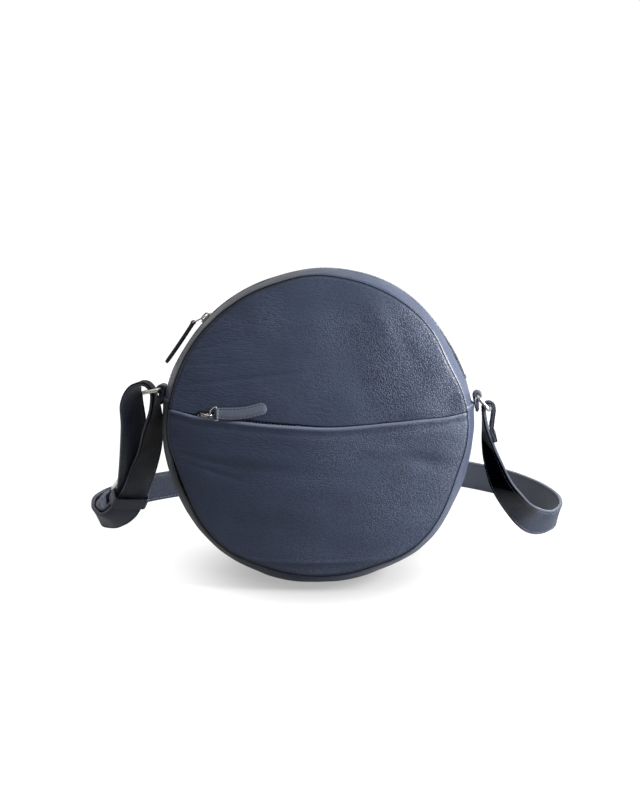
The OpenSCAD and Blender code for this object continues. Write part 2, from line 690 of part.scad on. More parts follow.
// Tongue with its eye on the heel bar; its tip rests on the far bar
module buckle_tongue() {
    eye_bore = wire_d / 2 + loop_clear;
    color(silver) at_buckle() difference() {
        union() {
            rotate([90, 0, 0]) cylinder(r = eye_bore + tongue_eye_t, h = slot_h, center = true, $fn = fine_fn);
            rotate([0, 90 + tongue_rise, 0]) cylinder(d = tongue_d, h = buckle_l + wire_d, $fn = fine_fn);
        }
        rotate([90, 0, 0]) cylinder(r = eye_bore, h = slot_h + 2 * over, center = true, $fn = fine_fn);
    }
}

front_upper_panel();
pocket_front_panel();
pocket_lining();
back_panel();
lower_gusset();
zip_strip(1);  // front_zip_strip
zip_strip(-1);  // back_zip_strip
rim_tape(1);  // rim_tape_front
rim_tape(-1);  // rim_tape_back
rim_teeth(1);  // rim_teeth_front
rim_teeth(-1);  // rim_teeth_back
rim_zip_stops();
pocket_tape(-1);  // pocket_tape_upper
pocket_tape(1);  // pocket_tape_lower
pocket_teeth(-1);  // pocket_teeth_upper
pocket_teeth(1);  // pocket_teeth_lower
pocket_zip_stops();
front_lining();
back_lining();
gusset_lining();
ring_tab(left_ring_a, 1);  // left_ring_tab
ring_tab(right_ring_a, -1);  // right_ring_tab
shoulder_strap();
strap_keeper();
buckle_frame();
buckle_tongue();
ring(left_ring_a, left_ring_dir);  // left_ring
ring(right_ring_a, right_ring_dir);  // right_ring
at_rim_slider() slider();  // rim_slider
at_rim_link() pull_link();  // rim_pull_link
at_rim_tab() pull_tab();  // rim_pull_tab
at_pocket_slider() slider();  // pocket_slider
at_pocket_link() pull_link();  // pocket_pull_link
at_pocket_tab() pull_tab();  // pocket_pull_tab
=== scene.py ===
import math
import bmesh
import bpy
import numpy as np
from mathutils import Matrix, Vector


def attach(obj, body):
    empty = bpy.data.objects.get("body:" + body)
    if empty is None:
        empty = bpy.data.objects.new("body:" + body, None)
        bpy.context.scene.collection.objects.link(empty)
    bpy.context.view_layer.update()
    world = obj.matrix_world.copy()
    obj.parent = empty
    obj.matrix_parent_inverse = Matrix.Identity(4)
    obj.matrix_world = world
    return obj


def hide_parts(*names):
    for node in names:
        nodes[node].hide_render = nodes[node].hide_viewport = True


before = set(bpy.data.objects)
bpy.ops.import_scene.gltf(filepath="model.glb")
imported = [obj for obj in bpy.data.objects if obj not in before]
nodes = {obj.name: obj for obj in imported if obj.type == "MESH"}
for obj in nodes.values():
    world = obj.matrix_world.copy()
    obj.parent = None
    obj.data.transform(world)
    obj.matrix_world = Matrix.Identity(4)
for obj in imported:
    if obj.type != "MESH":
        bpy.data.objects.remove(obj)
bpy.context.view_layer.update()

# Camera
# It stands about 1.8 m in front of the bag, a little to the right and 15 degrees above it, with a long lens.
view_turn, view_rise, distance = math.radians(3.4), math.radians(15.0), 1.8
focal_length, film_width, focal_pixels = 102.1, 36.0, 2255
aim, aim_right, aim_up = Vector((0.0, 0.0, 0.1216)), 1.5 / focal_pixels, 26.6 / focal_pixels
towards_camera = Vector((math.sin(view_turn) * math.cos(view_rise), -math.cos(view_turn) * math.cos(view_rise),
    math.sin(view_rise)))
camera_data = bpy.data.cameras.new("camera")
camera_data.lens, camera_data.sensor_width = focal_length, film_width
camera = bpy.data.objects.new("camera", camera_data)
bpy.context.scene.collection.objects.link(camera)
camera.location = aim + towards_camera * distance
camera_right = towards_camera.cross(Vector((0, 0, -1))).normalized()
camera_up = camera_right.cross(-towards_camera)
heading = -towards_camera + camera_right * aim_right + camera_up * aim_up
camera.rotation_euler = heading.to_track_quat("-Z", "Y").to_euler()
bpy.context.scene.camera = camera

# Lower gusset
# One curved strip of navy leather that closes the rim from one end of the zip round the bottom to the
# other. Its edges are turned in and sewn to the round panels, which leaves a groove along each seam, painted dark as
# shade.
lean = math.radians(10.0)
middle_height = 120.993
seam_radius, rim_radius, half_depth, leather = 118.0, 125.5, 36.0, 1.6
zip_start, zip_end, mm_per_degree, rim_thick = 8.5, 171.0, 2.1, 0.0014


def bag_to_world(u, v, w):
    """Millimetres right, up and forward in the leaning bag to metres in the part's frame."""
    u, v, w = np.broadcast_arrays(u, v, w)
    x = u
    y = -w * math.cos(lean) + v * math.sin(lean)
    z = v * math.cos(lean) + w * math.sin(lean) + middle_height
    return np.stack([x, y, z], -1) / 1000.0


def ring_to_world(radius, degrees, w):
    """Points at a radius, an angle and a depth of the leaning bag, in the part's frame."""
    return bag_to_world(radius * np.cos(np.radians(degrees)), radius * np.sin(np.radians(degrees)), w)


def hump(x, at, width, power=2):
    """Smooth rise to 1 at a place."""
    return np.exp(-((x - at) / width) ** power)


def ramp(x, start, length):
    """Straight rise from 0 at the start to 1 over a length."""
    return np.clip((x - start) / length, 0, 1)


def settle(points):
    """Leather that would reach under the floor is pressed flat on it."""
    z, near_floor, soft = points[..., 2], 0.01, 0.0005
    points[..., 2] = np.where(z < near_floor, (z + np.sqrt(z * z + soft * soft)) / 2, z)
    return points


def unevenness(seed, length, stretch, a, b):
    """Smooth random swell of soft leather, mostly between -1 and 1; stretch draws it out along a."""
    rng = np.random.default_rng(seed)
    total = np.zeros(np.broadcast(a, b).shape)
    for _ in range(16):
        turn, phase = rng.uniform(0, 2 * math.pi, 2)
        wave = length * rng.uniform(0.7, 1.6)
        total = total + np.cos((a * math.cos(turn) / stretch + b * math.sin(turn)) * 2 * math.pi / wave + phase)
    return total / 5.0


def around(degrees, table):
    """A value given at some angles round the bag, blended smoothly between them."""
    at, value = np.array(table, float).T
    at = np.concatenate([at - 360, at, at + 360])
    value = np.tile(value, 3)
    angle = np.asarray(degrees, float) % 360
    spread, weight = (-4, -2, 0, 2, 4), np.array([1, 2, 3, 2, 1]) / 9.0
    return sum(k * np.interp(angle + s, at, value) for s, k in zip(spread, weight))


front_seam_wander = [(2, 1.6), (7, 1.1), (12, 0.6), (17, -0.3), (22, -1.8), (27, -2.6), (32, -1.8), (36, -0.3),
    (41, 0.9), (46, 1.7), (51, 2.0), (61, 2.2), (70, 2.1), (80, 1.9), (90, 2.3), (94, 2.0), (99, 1.2), (104, 0.1),
    (109, -0.4), (119, -0.5), (124, -0.9), (134, -1.2), (149, -1.0), (159, -1.4), (169, -1.0), (184, -0.3),
    (190, -2.0), (195, -3.4), (200, -3.8), (205, -3.7), (210, -2.9), (215, -2.1), (220, -0.4), (225, 0.6), (236, 1.7),
    (243, -0.3), (251, -1.0), (272, -1.0), (292, -0.7), (297, -0.2), (302, 1.8), (307, 2.8), (312, 3.4), (317, 2.8),
    (322, 2.2), (328, 0.6), (333, -0.6), (338, -1.6), (343, -2.0), (348, -1.2), (352, 0.0)]
back_seam_wander = [(10, -0.8), (60, 0.9), (120, -1.1), (170, -1.6), (215, 0.6), (260, -0.8), (305, 0.9), (340, -1.2)]
rim_wander = [(0, -1.1), (15, -2.1), (25, -2.2), (30, -2.2), (35, -1.9), (40, -0.8), (45, -0.4), (50, 0.8), (60, 1.8),
    (70, 1.7), (80, 0.9), (90, 0.5), (95, -0.3), (100, -1.0), (105, -1.6), (110, -2.2), (150, -2.2), (160, -0.8),
    (195, -0.8), (210, 0.2), (215, 1.2), (222, 1.7), (238, 2.0), (245, 1.5), (262, 1.2), (270, 0.1), (285, 0.1),
    (295, -0.2), (305, 1.7), (311, 2.6), (316, 2.1), (321, 1.2), (326, -0.6), (331, -1.6), (340, -2.0), (350, -2.5),
    (355, -1.7)]


def rim_surface(degrees, w):
    """Radius of the soft rim at an angle and depth, with its wandering seams and the turned-in edges."""
    side = ramp(np.abs(w), 6, 30) ** 2
    wander = np.where(w > 0, around(degrees, front_seam_wander), around(degrees, back_seam_wander))
    radius = rim_radius - (rim_radius - seam_radius) * (w / half_depth) ** 2
    radius = radius + around(degrees, rim_wander) * (1 - side) + wander * side
    return radius - 2.5 * hump(half_depth - np.abs(w), 0, 1.7)


def grid_piece(name, points, uv=None, wrap=False, marks=None, outward=None):
    """Mesh of quads over rows and columns of points; outward is a point that its faces turn away from."""
    rows, columns = points.shape[:2]
    index = np.arange(rows * columns).reshape(rows, columns)
    if wrap:
        index = np.concatenate([index, index[:, :1]], axis=1)
    quads = np.stack([index[:-1, :-1], index[1:, :-1], index[1:, 1:], index[:-1, 1:]], -1).reshape(-1, 4)
    mesh = bpy.data.meshes.new(name)
    flat = points.reshape(-1, 3)
    if outward is not None:
        a, b, c = flat[quads[:, 0]], flat[quads[:, 1]], flat[quads[:, 3]]
        facing = np.cross(b - a, c - a)
        if (facing * (a - np.asarray(outward))).sum() < 0:
            quads = quads[:, ::-1]
    mesh.from_pydata(flat.tolist(), [], quads.tolist())
    if uv is not None:
        layer = mesh.uv_layers.new(name="lay")
        flat_uv = uv.reshape(-1, 2)
        corners = np.zeros(len(mesh.loops), np.int64)
        mesh.loops.foreach_get("vertex_index", corners)
        layer.data.foreach_set("uv", flat_uv[corners].astype(np.float32).ravel())
    for mark, value in (marks or {}).items():
        attribute = mesh.attributes.new(mark, "FLOAT", "POINT")
        attribute.data.foreach_set("value", np.broadcast_to(value, (rows, columns)).astype(np.float32).ravel())
    mesh.shade_smooth()
    piece = bpy.data.objects.new(name, mesh)
    bpy.context.scene.collection.objects.link(piece)
    return piece


def cover(piece, material, depth):
    """Leather or cloth of a thickness, built inwards from the outer face."""
    wall = piece.modifiers.new("thickness", "SOLIDIFY")
    wall.thickness, wall.offset, wall.use_rim = depth, -1.0, True
    piece.data.materials.append(material)


def shader_tree(name, inputs, outputs):
    """Empty shader group with named sockets."""
    tree = bpy.data.node_groups.new(name, "ShaderNodeTree")
    for label, kind, default in inputs:
        socket = tree.interface.new_socket(label, in_out="INPUT", socket_type=kind)
        if default is not None:
            socket.default_value = default
    for label, kind in outputs:
        tree.interface.new_socket(label, in_out="OUTPUT", socket_type=kind)
    return tree, tree.nodes.new("NodeGroupInput"), tree.nodes.new("NodeGroupOutput")


def feed(tree, node, **inputs):
    """Links or sets a node's inputs; i and a number stand for an input without a name of its own."""
    for key, value in inputs.items():
        key = int(key[1:]) if key[0] == "i" and key[1:].isdigit() else key.replace("_", " ")
        if isinstance(value, bpy.types.NodeSocket):
            tree.links.new(value, node.inputs[key])
        else:
            node.inputs[key].default_value = value


def add(tree, kind, settings=None, **inputs):
    """New node with its settings and inputs."""
    made = tree.nodes.new(kind)
    for key, value in (settings or {}).items():
        setattr(made, key, value)
    feed(tree, made, **inputs)
    return made


def maths(tree, operation, *values, clamp=False):
    """Result of a sum on values or sockets."""
    numbered = {f"i{k}": value for k, value in enumerate(values)}
    return add(tree, "ShaderNodeMath", {"operation": operation, "use_clamp": clamp}, **numbered).outputs[0]


def remap(tree, value, *ends, smooth=False):
    """A value carried from one range, the first two ends, to another, the last two."""
    numbered = {f"i{k + 1}": end for k, end in enumerate(ends)}
    kind = {"interpolation_type": "SMOOTHSTEP" if smooth else "LINEAR"}
    return add(tree, "ShaderNodeMapRange", kind, Value=value, **numbered).outputs[0]


def between(tree, share, *colours):
    """Colour between two colours or sockets."""
    one, two = (c if isinstance(c, bpy.types.NodeSocket) else (*c, 1) for c in colours)
    return add(tree, "ShaderNodeMix", {"data_type": "RGBA"}, i0=share, i6=one, i7=two).outputs[2]


def noise(tree, vector, scale, detail, **inputs):
    """Cloudy pattern."""
    return add(tree, "ShaderNodeTexNoise", None, Vector=vector, Scale=scale, Detail=detail, **inputs)


def wobbled(tree, vector, pattern, reach):
    """Places shifted by a pattern."""
    shift = {"i0": pattern.outputs["Color"], "i1": (reach, reach, reach), "i2": vector}
    return add(tree, "ShaderNodeVectorMath", {"operation": "MULTIPLY_ADD"}, **shift).outputs[0]


def new_material(name):
    """Material with its tree, its shader and the places of the points it covers."""
    material = bpy.data.materials.new(name)
    material.use_nodes = True
    tree = material.node_tree
    return material, tree, tree.nodes["Principled BSDF"], add(tree, "ShaderNodeTexCoord")


# Pebbled grain of milled leather: rounded cells with small pits, for the Height of a bump
grain, entry, leave = shader_tree("pebbled grain", [("Vector", "NodeSocketVector", None),
    ("Cell", "NodeSocketFloat", 0.0012)], [("Height", "NodeSocketFloat"), ("Pits", "NodeSocketFloat")])
place = entry.outputs["Vector"]
per_metre = maths(grain, "DIVIDE", 1.0, entry.outputs["Cell"])
shifted = wobbled(grain, place, noise(grain, place, per_metre, 1.0), 0.0006)
cells = add(grain, "ShaderNodeTexVoronoi", {"feature": "SMOOTH_F1"}, Vector=shifted, Scale=per_metre, Smoothness=0.35)
pebbles = remap(grain, cells.outputs["Distance"], 0.15, 0.75, 1.0, 0.0, smooth=True)
fine = noise(grain, place, maths(grain, "MULTIPLY", per_metre, 3.1), 3.0)
feed(grain, leave, Height=maths(grain, "MULTIPLY_ADD", fine.outputs["Fac"], 0.35, pebbles), Pits=pebbles)

# Fine folds where leather has been flexed: thin valleys drawn out in one direction
folds, entry, leave = shader_tree("flex lines", [("Vector", "NodeSocketVector", None),
    ("Size", "NodeSocketFloat", 0.004)], [("Height", "NodeSocketFloat")])
place = entry.outputs["Vector"]
per_metre = maths(folds, "DIVIDE", 1.0, entry.outputs["Size"])
bent = wobbled(folds, place, noise(folds, place, 38.0, 2.0), 0.01)
lines = add(folds, "ShaderNodeTexVoronoi", {"feature": "DISTANCE_TO_EDGE"}, Vector=bent, Scale=per_metre)
feed(folds, leave, Height=remap(folds, lines.outputs["Distance"], 0.0, 0.16, 0.0, 1.0, smooth=True))


def leather_material(name, colour, shade, pale, roughness=0.45, cell=0.0012, grain_depth=0.00014, line_depth=0.0001,
        line_stretch=(1.0, 1.0, 5.0), by_uv=False):
    """Dyed leather: cloudy dye, pebbled grain and flex lines; painted shade darkens it and painted light lightens it
    where its marks say.
    """
    material, tree, principled, place = new_material(name)
    vector = place.outputs["UV" if by_uv else "Object"]
    cloud = noise(tree, vector, 22.0, 3.0, Roughness=0.55).outputs["Fac"]
    speck = noise(tree, vector, 420.0, 2.0).outputs["Fac"]
    pebble = add(tree, "ShaderNodeGroup", {"node_tree": grain}, Vector=vector, Cell=cell)
    stretched = add(tree, "ShaderNodeMapping", None, Vector=vector, Scale=line_stretch).outputs[0]
    flex = add(tree, "ShaderNodeGroup", {"node_tree": folds}, Vector=stretched, Size=0.011)
    marks = {}
    for mark in ("grain", "flex", "painted_shade", "painted_light"):
        marks[mark] = add(tree, "ShaderNodeAttribute", {"attribute_name": mark}).outputs["Fac"]
    base = between(tree, remap(tree, cloud, 0.3, 0.7, 0.0, 1.0), shade, colour)
    # Painted highlight: the pebble tips are mixed towards the pale colour, more where the grain mark is high
    painted_tip_highlights = maths(tree, "MULTIPLY", maths(tree, "MULTIPLY", pebble.outputs["Pits"], speck), marks["grain"])
    base = between(tree, maths(tree, "MULTIPLY", painted_tip_highlights, 0.36), base, pale)
    # Painted light: this mark mixes the leather towards the pale colour on edges and faces that catch the light
    base = between(tree, maths(tree, "MULTIPLY", marks["painted_light"], 0.55), base, pale)
    # Painted shade: this mark mixes in near black in seams and on faces turned from the light, and takes away their
    # reflection
    painted_shade_colour = (0.0015, 0.002, 0.004)
    base = between(tree, marks["painted_shade"], base, painted_shade_colour)
    height = maths(tree, "MULTIPLY", pebble.outputs["Height"], marks["grain"])
    first = add(tree, "ShaderNodeBump", None, Strength=1.0, Distance=grain_depth, Height=height).outputs[0]
    height = maths(tree, "MULTIPLY", flex.outputs["Height"], marks["flex"])
    second = add(tree, "ShaderNodeBump", None, Strength=1.0, Distance=line_depth, Height=height, Normal=first)
    unshaded = maths(tree, "SUBTRACT", 1.0, marks["painted_shade"], clamp=True)
    feed(tree, principled, Base_Color=base, Normal=second.outputs[0],
        Roughness=remap(tree, cloud, 0.3, 0.7, roughness + 0.06, roughness - 0.05),
        Specular_IOR_Level=maths(tree, "MULTIPLY", unshaded, 0.4))
    return material


navy = (0.029, 0.040, 0.073)
navy_shade = (0.020, 0.028, 0.053)
# The pale navy is what painted light and painted highlights mix towards
navy_pale = (0.19, 0.215, 0.28)
bag_leather = leather_material("navy bag leather", navy, navy_shade, navy_pale)

bag_middle = (0.0, 0.0, middle_height / 1000)
angles = np.linspace(zip_end - 1.2, 360 + zip_start + 1.2, 300)[:, None]
depths = half_depth * np.sin(np.linspace(-math.pi / 2, math.pi / 2, 56))[None, :]
radius = rim_surface(angles, depths)
from_end = np.minimum(angles - angles[0], angles[-1] - angles) * math.pi / 180 * rim_radius
around_mm = angles * mm_per_degree
radius = radius + 1.25 * hump(from_end, 0, 7.0) - 1.1 * hump(from_end, 0, 0.7)
radius = radius + 0.35 * unevenness(11, 60, 1.0, around_mm, depths) + 0.12 * unevenness(12, 16, 1.0, around_mm, depths)
edge = half_depth - np.abs(depths) + 0 * angles
left_side = ramp(-np.cos(np.radians(angles)), 0.3, 0.4) + 0 * depths
# Painted shade in the seam grooves and over the left side, turned from the light, which also gets a little pale mixed
# in;
# painted highlight on the lapped ends
gusset = grid_piece("gusset", settle(ring_to_world(radius, angles, depths)),
    marks={"grain": 0.55 + 0.2 * unevenness(13, 70, 1.0, around_mm, depths), "flex": 0.35,
        "painted_shade": np.maximum(0.97 * hump(edge, 0, 1.3), 0.6 * left_side),
        "painted_light": 0.5 * hump(from_end, 1.2, 0.8) + 0.35 * left_side}, outward=bag_middle)
cover(gusset, bag_leather, rim_thick)
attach(gusset, "bag")
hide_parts("lower_gusset")

# Zip strips
# Two strips of the same leather beside the rim zip. Each has its inner edge folded under and topstitched to
# the zip tape, and its outer edge turned in and sewn to a round panel.
strip_edge, stitch_line = 8.0, 2.4


def strip_lap(side, degrees):
    """How far the folded edge of a strip wanders from its line beside the zip."""
    return -0.25 + 0.5 * unevenness(20 + side, 90, 1.0, degrees * mm_per_degree, 0 * degrees)


angles = np.linspace(zip_start - 1.5, zip_end + 1.5, 260)[:, None]
around_mm = angles * mm_per_degree
share = (1 - np.cos(np.linspace(0, math.pi, 34))) / 2
for side, name, node in ((1, "front_strip", "front_zip_strip"), (-1, "back_strip", "back_zip_strip")):
    lap = strip_lap(side, angles)
    depths = side * (strip_edge + lap + (half_depth - strip_edge - lap) * share[None, :])
    radius = rim_surface(angles, depths)
    from_fold = np.abs(depths) - strip_edge - lap
    radius = radius - 1.2 * hump(from_fold, 0, 0.75) - 0.35 * hump(from_fold, stitch_line, 0.8)
    if side > 0:
        dip = 2.4 * hump(angles, 74.5, 8.0, 4) + 1.3 * hump(angles, 30, 13.0, 4)
        radius = radius - dip * hump(from_fold, 0, 5.0)
    from_end = np.minimum(angles - angles[0], angles[-1] - angles) * math.pi / 180 * rim_radius
    radius = radius - 1.5 * hump(from_end, 0, 3.2)
    swell = 0.3 * unevenness(22 + side, 55, 1.0, around_mm, depths)
    swell = swell + 0.12 * unevenness(26 + side, 14, 1.0, around_mm, depths)
    radius = radius + swell * ramp(from_fold, 0, 6)
    edge = half_depth - np.abs(depths)
    # Painted shade in the seam groove and a painted highlight along the folded edge
    strip = grid_piece(name, ring_to_world(radius, angles, depths),
        marks={"grain": 0.6 + 0.2 * unevenness(28 + side, 60, 1.0, around_mm, depths), "flex": 0.3,
            "painted_shade": 0.97 * hump(edge, 0, 1.3), "painted_light": 0.6 * hump(from_fold, 0.7, 0.7)}, outward=bag_middle)
    cover(strip, bag_leather, rim_thick)
    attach(strip, "bag")
    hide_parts(node)

# Front upper panel
# The upper part of the round front, cut from navy leather. Its lower edge is folded under along the pocket
# zip, and its round edge is turned in and sewn to the rim.
panel_thick = 0.0012
arc_radius, arc_tilt = 491.981, math.radians(8.74616)
arc_middle = np.array([0.0, 487.864, -38.310])


def pocket_zip_point(degrees, below, forward):
    """Point at an angle along the pocket zip, so far below its middle line and forward of its plane."""
    a = np.radians(degrees)
    u, down = (arc_radius + below) * np.sin(a), (arc_radius + below) * np.cos(a)
    v = arc_middle[1] - down * math.cos(arc_tilt) + forward * math.sin(arc_tilt)
    w = arc_middle[2] + down * math.sin(arc_tilt) + forward * math.cos(arc_tilt)
    return u, v, w


def seam_at(degrees):
    """Radius of the front seam at an angle."""
    return seam_radius + around(degrees, front_seam_wander)


def front_fan(line, upper, columns, rows):
    """Places over the front from an edge near the zip to the round seam; line gives how far the edge runs below."""
    sweep = np.linspace(-14.0, 14.0, 4001)
    at, down = np.array(line, float).T
    below = np.interp(arc_radius * np.sin(np.radians(sweep)), at, down)
    u, v, _ = pocket_zip_point(sweep, below, 0.0)
    inside = from_seam(u, v) >= 0
    first, last = sweep[inside][0], sweep[inside][-1]
    t = np.linspace(0, 1, columns)
    places = first + (last - first) * t
    u0, v0, _ = pocket_zip_point(places, np.interp(places, sweep, below), 0.0)
    start, stop = math.degrees(math.atan2(v0[0], u0[0])) % 360, math.degrees(math.atan2(v0[-1], u0[-1]))
    spin = start + (stop + (0 if upper else 360) - start) * t
    u1, v1 = seam_at(spin) * np.cos(np.radians(spin)), seam_at(spin) * np.sin(np.radians(spin))
    s = ((1 - np.cos(np.linspace(0, math.pi, rows))) / 2)[:, None]
    return u0 + (u1 - u0) * s, v0 + (v1 - v0) * s


def from_seam(u, v):
    """Distance to the front seam, inside it."""
    return seam_at(np.degrees(np.arctan2(v, u))) - np.hypot(u, v)


def dent(u, v, at, size, turn=0.0):
    """Round or oval hollow of depth 1 at a place."""
    a = math.radians(turn)
    du, dv = u - at[0], v - at[1]
    along, over = du * math.cos(a) + dv * math.sin(a), -du * math.sin(a) + dv * math.cos(a)
    return np.exp(-(along / size[0]) ** 2 - (over / size[1]) ** 2)


def dented(w, u, v, table):
    """Depth with the hollows and swells of a table, each a height, a place, a size and a turn."""
    for height, at, size, turn in table:
        w = w + height * dent(u, v, at, size, turn)
    return w


def pulled_in(u, v):
    """How far the leather falls back where it is turned in at the front seam."""
    return (2.6 - 1.2 * ramp(u, 0, 80)) * hump(np.clip(from_seam(u, v), 0, None), 0, 1.25)


upper_dents = [(-1.0, (101, 17), (15, 6.5), 20), (-1.2, (80, 8), (26, 5), 6), (1.0, (98, 50), (13, 26), -20),
    (-0.9, (70, 66), (8, 24), 28), (0.7, (52, 84), (9, 20), 35), (-0.7, (34, 40), (12, 34), 24),
    (-0.7, (104, 24), (9, 12), 0), (-0.45, (-62, 38), (46, 1.8), 7), (-0.35, (-88, 62), (22, 1.5), 12),
    (-0.3, (-84, 50), (24, 1.3), 4), (-0.3, (-80, 73), (20, 1.2), 18)]


def upper_face(u, v):
    """Depth of the upper panel's outer face."""
    r = np.hypot(u, v) / seam_radius
    w = half_depth + leather + 6.4 * (1 - r ** 2.2) + 4.5 * r ** 2 * (1 - r ** 3) * ramp(u, 15, 60)
    w = w + 0.55 * unevenness(31, 75, 1.6, u, v) * ramp(from_seam(u, v), 0, 20)
    w = w + 0.16 * unevenness(32, 20, 2.2, u, v)
    return dented(w, u, v, upper_dents) - pulled_in(u, v)


def zip_sweep(u):
    """Angles along the pocket zip of places across the front."""
    return np.degrees(np.arcsin(np.clip(u / arc_radius, -1, 1)))


def turned_edge(u, v, hidden, visible, edge_w, rim_drop):
    """Rows of an edge that is folded under: from beside the tape, through a middle row, to the visible rows."""
    rows = [pocket_zip_point(zip_sweep(u), below, above_tape) for below, above_tape in hidden]
    rows.append((u, (rows[-1][1] + v) / 2, edge_w - visible[0]))
    rows += [(u, v + up, edge_w - behind) for up, behind in visible[1:]]
    edge_u, edge_v, edge_depth = (np.array([row[k] for row in rows]) for k in range(3))
    limit = np.hypot(edge_u, edge_v) > seam_radius - 4
    edge_u, edge_v = np.where(limit, u, edge_u), np.where(limit, v, edge_v)
    return edge_u, edge_v, np.where(limit, np.minimum(edge_depth, edge_w - rim_drop), edge_depth)


hem_line = [(-118, 2.2), (-112, 1.3), (-103, 1.5), (-94.5, 1.2), (-91, -2.2), (-78, -2.6), (-70, -1.5), (-31, -1.6),
    (-13, -1.4), (0, -0.4), (6, 0.0), (15, 0.0), (53, -1.0), (81, -0.4), (99, 1.2), (109, 1.5), (118, 1.2)]
u, v = front_fan(hem_line, True, 260, 120)
w = upper_face(u, v)
rise = np.hypot(u - u[:1], v - v[:1])
hem_w = w[0]
w = w - 0.5 * hump(rise, 0, 0.6)
inner_u, inner_v, inner_w = turned_edge(u[0], v[0], ((-7.0, 0.6), (-5.3, 0.6), (-4.9, 2.9)),
    (1.5, (0.3, 1.45), (0.02, 1.0)), hem_w, 1.0)
inner_w = np.minimum(inner_w, upper_face(inner_u, inner_v) - 1.3)
all_u, all_v, all_w = (np.concatenate(pair) for pair in ((inner_u, u), (inner_v, v), (inner_w, w)))
rise = np.concatenate([np.zeros_like(inner_u), rise])
edge = np.clip(from_seam(all_u, all_v), 0, None)
# Painted highlight: the grain mark rises to the right, where the pebble tips are painted paler.
# Painted shade in the seam groove and on the turned-under rows at the zip
upper_panel = grid_piece("upper_panel", bag_to_world(all_u, all_v, all_w),
    marks={"grain": np.clip(0.35 + (all_u + 10) / 110 + 0.25 * unevenness(33, 60, 1.0, all_u, all_v), 0.15, 1.2),
        "flex": np.clip(0.75 - (all_u + 40) / 90 + 0.3 * unevenness(34, 50, 1.0, all_u, all_v), 0.05, 1.0),
        "painted_shade": 0.97 * hump(edge, 0, 1.5) + 0.8 * hump(rise, 0, 1.2), "painted_light": 0.0}, outward=bag_middle)
cover(upper_panel, bag_leather, panel_thick)
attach(upper_panel, "bag")
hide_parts("front_upper_panel")

# Pocket front
# The lower part of the round front, which bulges over the pocket behind it. Its upper edge is folded over as
# a soft lip in front of the pocket zip, and a fold shows near the bottom where the leather turns under.
lip_line = [(-118, 2.0), (-112, 1.0), (-103, 1.2), (-93, 1.5), (-86, 1.0), (-82, 0.5), (-60, -0.6), (-31, -1.0),
    (-13, -1.0), (6, -0.3), (15, -0.3), (53, -1.3), (81, -0.7), (99, 0.9), (109, 1.2), (118, 0.9)]
pocket_dents = [(-1.2, (84, -22), (20, 7), -14), (0.8, (60, -16), (30, 6), -4), (-0.5, (-88, -25), (26, 2.4), -12),
    (-0.4, (-82, -34), (24, 2.0), -16), (-0.6, (-50, -30), (40, 5), -5)]


def pocket_face(u, v):
    """Depth of the pocket front's outer face."""
    r = np.hypot(u, v) / seam_radius
    w = half_depth + leather + 11.0 * (1 - r ** 2.3) + 3.0 * r ** 2 * (1 - r ** 3) * ramp(u, 15, 60)
    fold_line = -105.5 + 0.0011 * (u + 10) ** 2
    fold = 0.5 * hump(v, fold_line, 1.6) - 0.8 * ramp(fold_line - v, 0, 5)
    w = w + fold * hump(u, -12, 62, 4)
    w = w + 0.9 * unevenness(41, 85, 1.8, u, v) * ramp(from_seam(u, v), 0, 24)
    w = w + 0.22 * unevenness(42, 24, 2.6, u, v) * ramp(from_seam(u, v), 0, 10)
    return dented(w, u, v, pocket_dents) - pulled_in(u, v)


u, v = front_fan(lip_line, False, 240, 130)
face = pocket_face(u, v)
fall = np.hypot(u - u[:1], v - v[:1])
_, _, tape_w = pocket_zip_point(zip_sweep(u[0]), 0.0, 0.0)
lip_w = np.maximum(face[0] - 3.0, np.minimum(face[0] - 0.5, tape_w + 5.2))
w = face - (face[0] - lip_w) * (1 - np.sqrt(np.clip(1 - (1 - ramp(fall, 0, 2.6)) ** 2, 0, 1)))
w = w + 0.4 * hump(fall, 2.6, 1.5) - 0.3 * hump(fall, 7.0, 2.2)
inner_u, inner_v, inner_w = turned_edge(u[0], v[0], ((7.6, 0.6), (5.5, 0.6), (5.0, 2.9)),
    (1.3, (-0.9, 1.35), (-0.3, 1.2), (0.0, 0.75), (-0.05, 0.3)), lip_w, 0.7)
all_u, all_v, all_w = (np.concatenate(pair) for pair in ((inner_u, u), (inner_v, v), (inner_w, w)))
fall = np.concatenate([np.zeros_like(inner_u), fall])
edge = np.clip(from_seam(all_u, all_v), 0, None)
shown = np.concatenate([np.zeros_like(inner_u), np.ones_like(u)])
# Painted highlight on the pebble tips, more to the right, and along the lip's rolled edge; painted shade in the seam
# groove
pocket_front = grid_piece("pocket_front", bag_to_world(all_u, all_v, all_w),
    marks={"grain": np.clip(0.2 + (all_u + 40) / 220 + 0.15 * unevenness(43, 60, 1.0, all_u, all_v), 0.08, 0.95),
        "flex": np.clip(0.4 - all_u / 260 + 0.35 * unevenness(44, 50, 1.0, all_u, all_v), 0.05, 1.0),
        "painted_shade": 0.97 * hump(edge, 0, 1.4), "painted_light": 0.75 * shown * hump(fall, 0.5, 0.9)}, outward=bag_middle)
cover(pocket_front, bag_leather, panel_thick)
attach(pocket_front, "bag")
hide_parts("pocket_front_panel")

# Back panel
# One plain round of navy leather, turned in and sewn to the rim like the front, and pressed flat at the floor.
def round_grid(line):
    """Square grid drawn out to a round of radius 1."""
    a, b = np.meshgrid(line, line)
    return a * np.sqrt(1 - b ** 2 / 2), b * np.sqrt(1 - a ** 2 / 2)


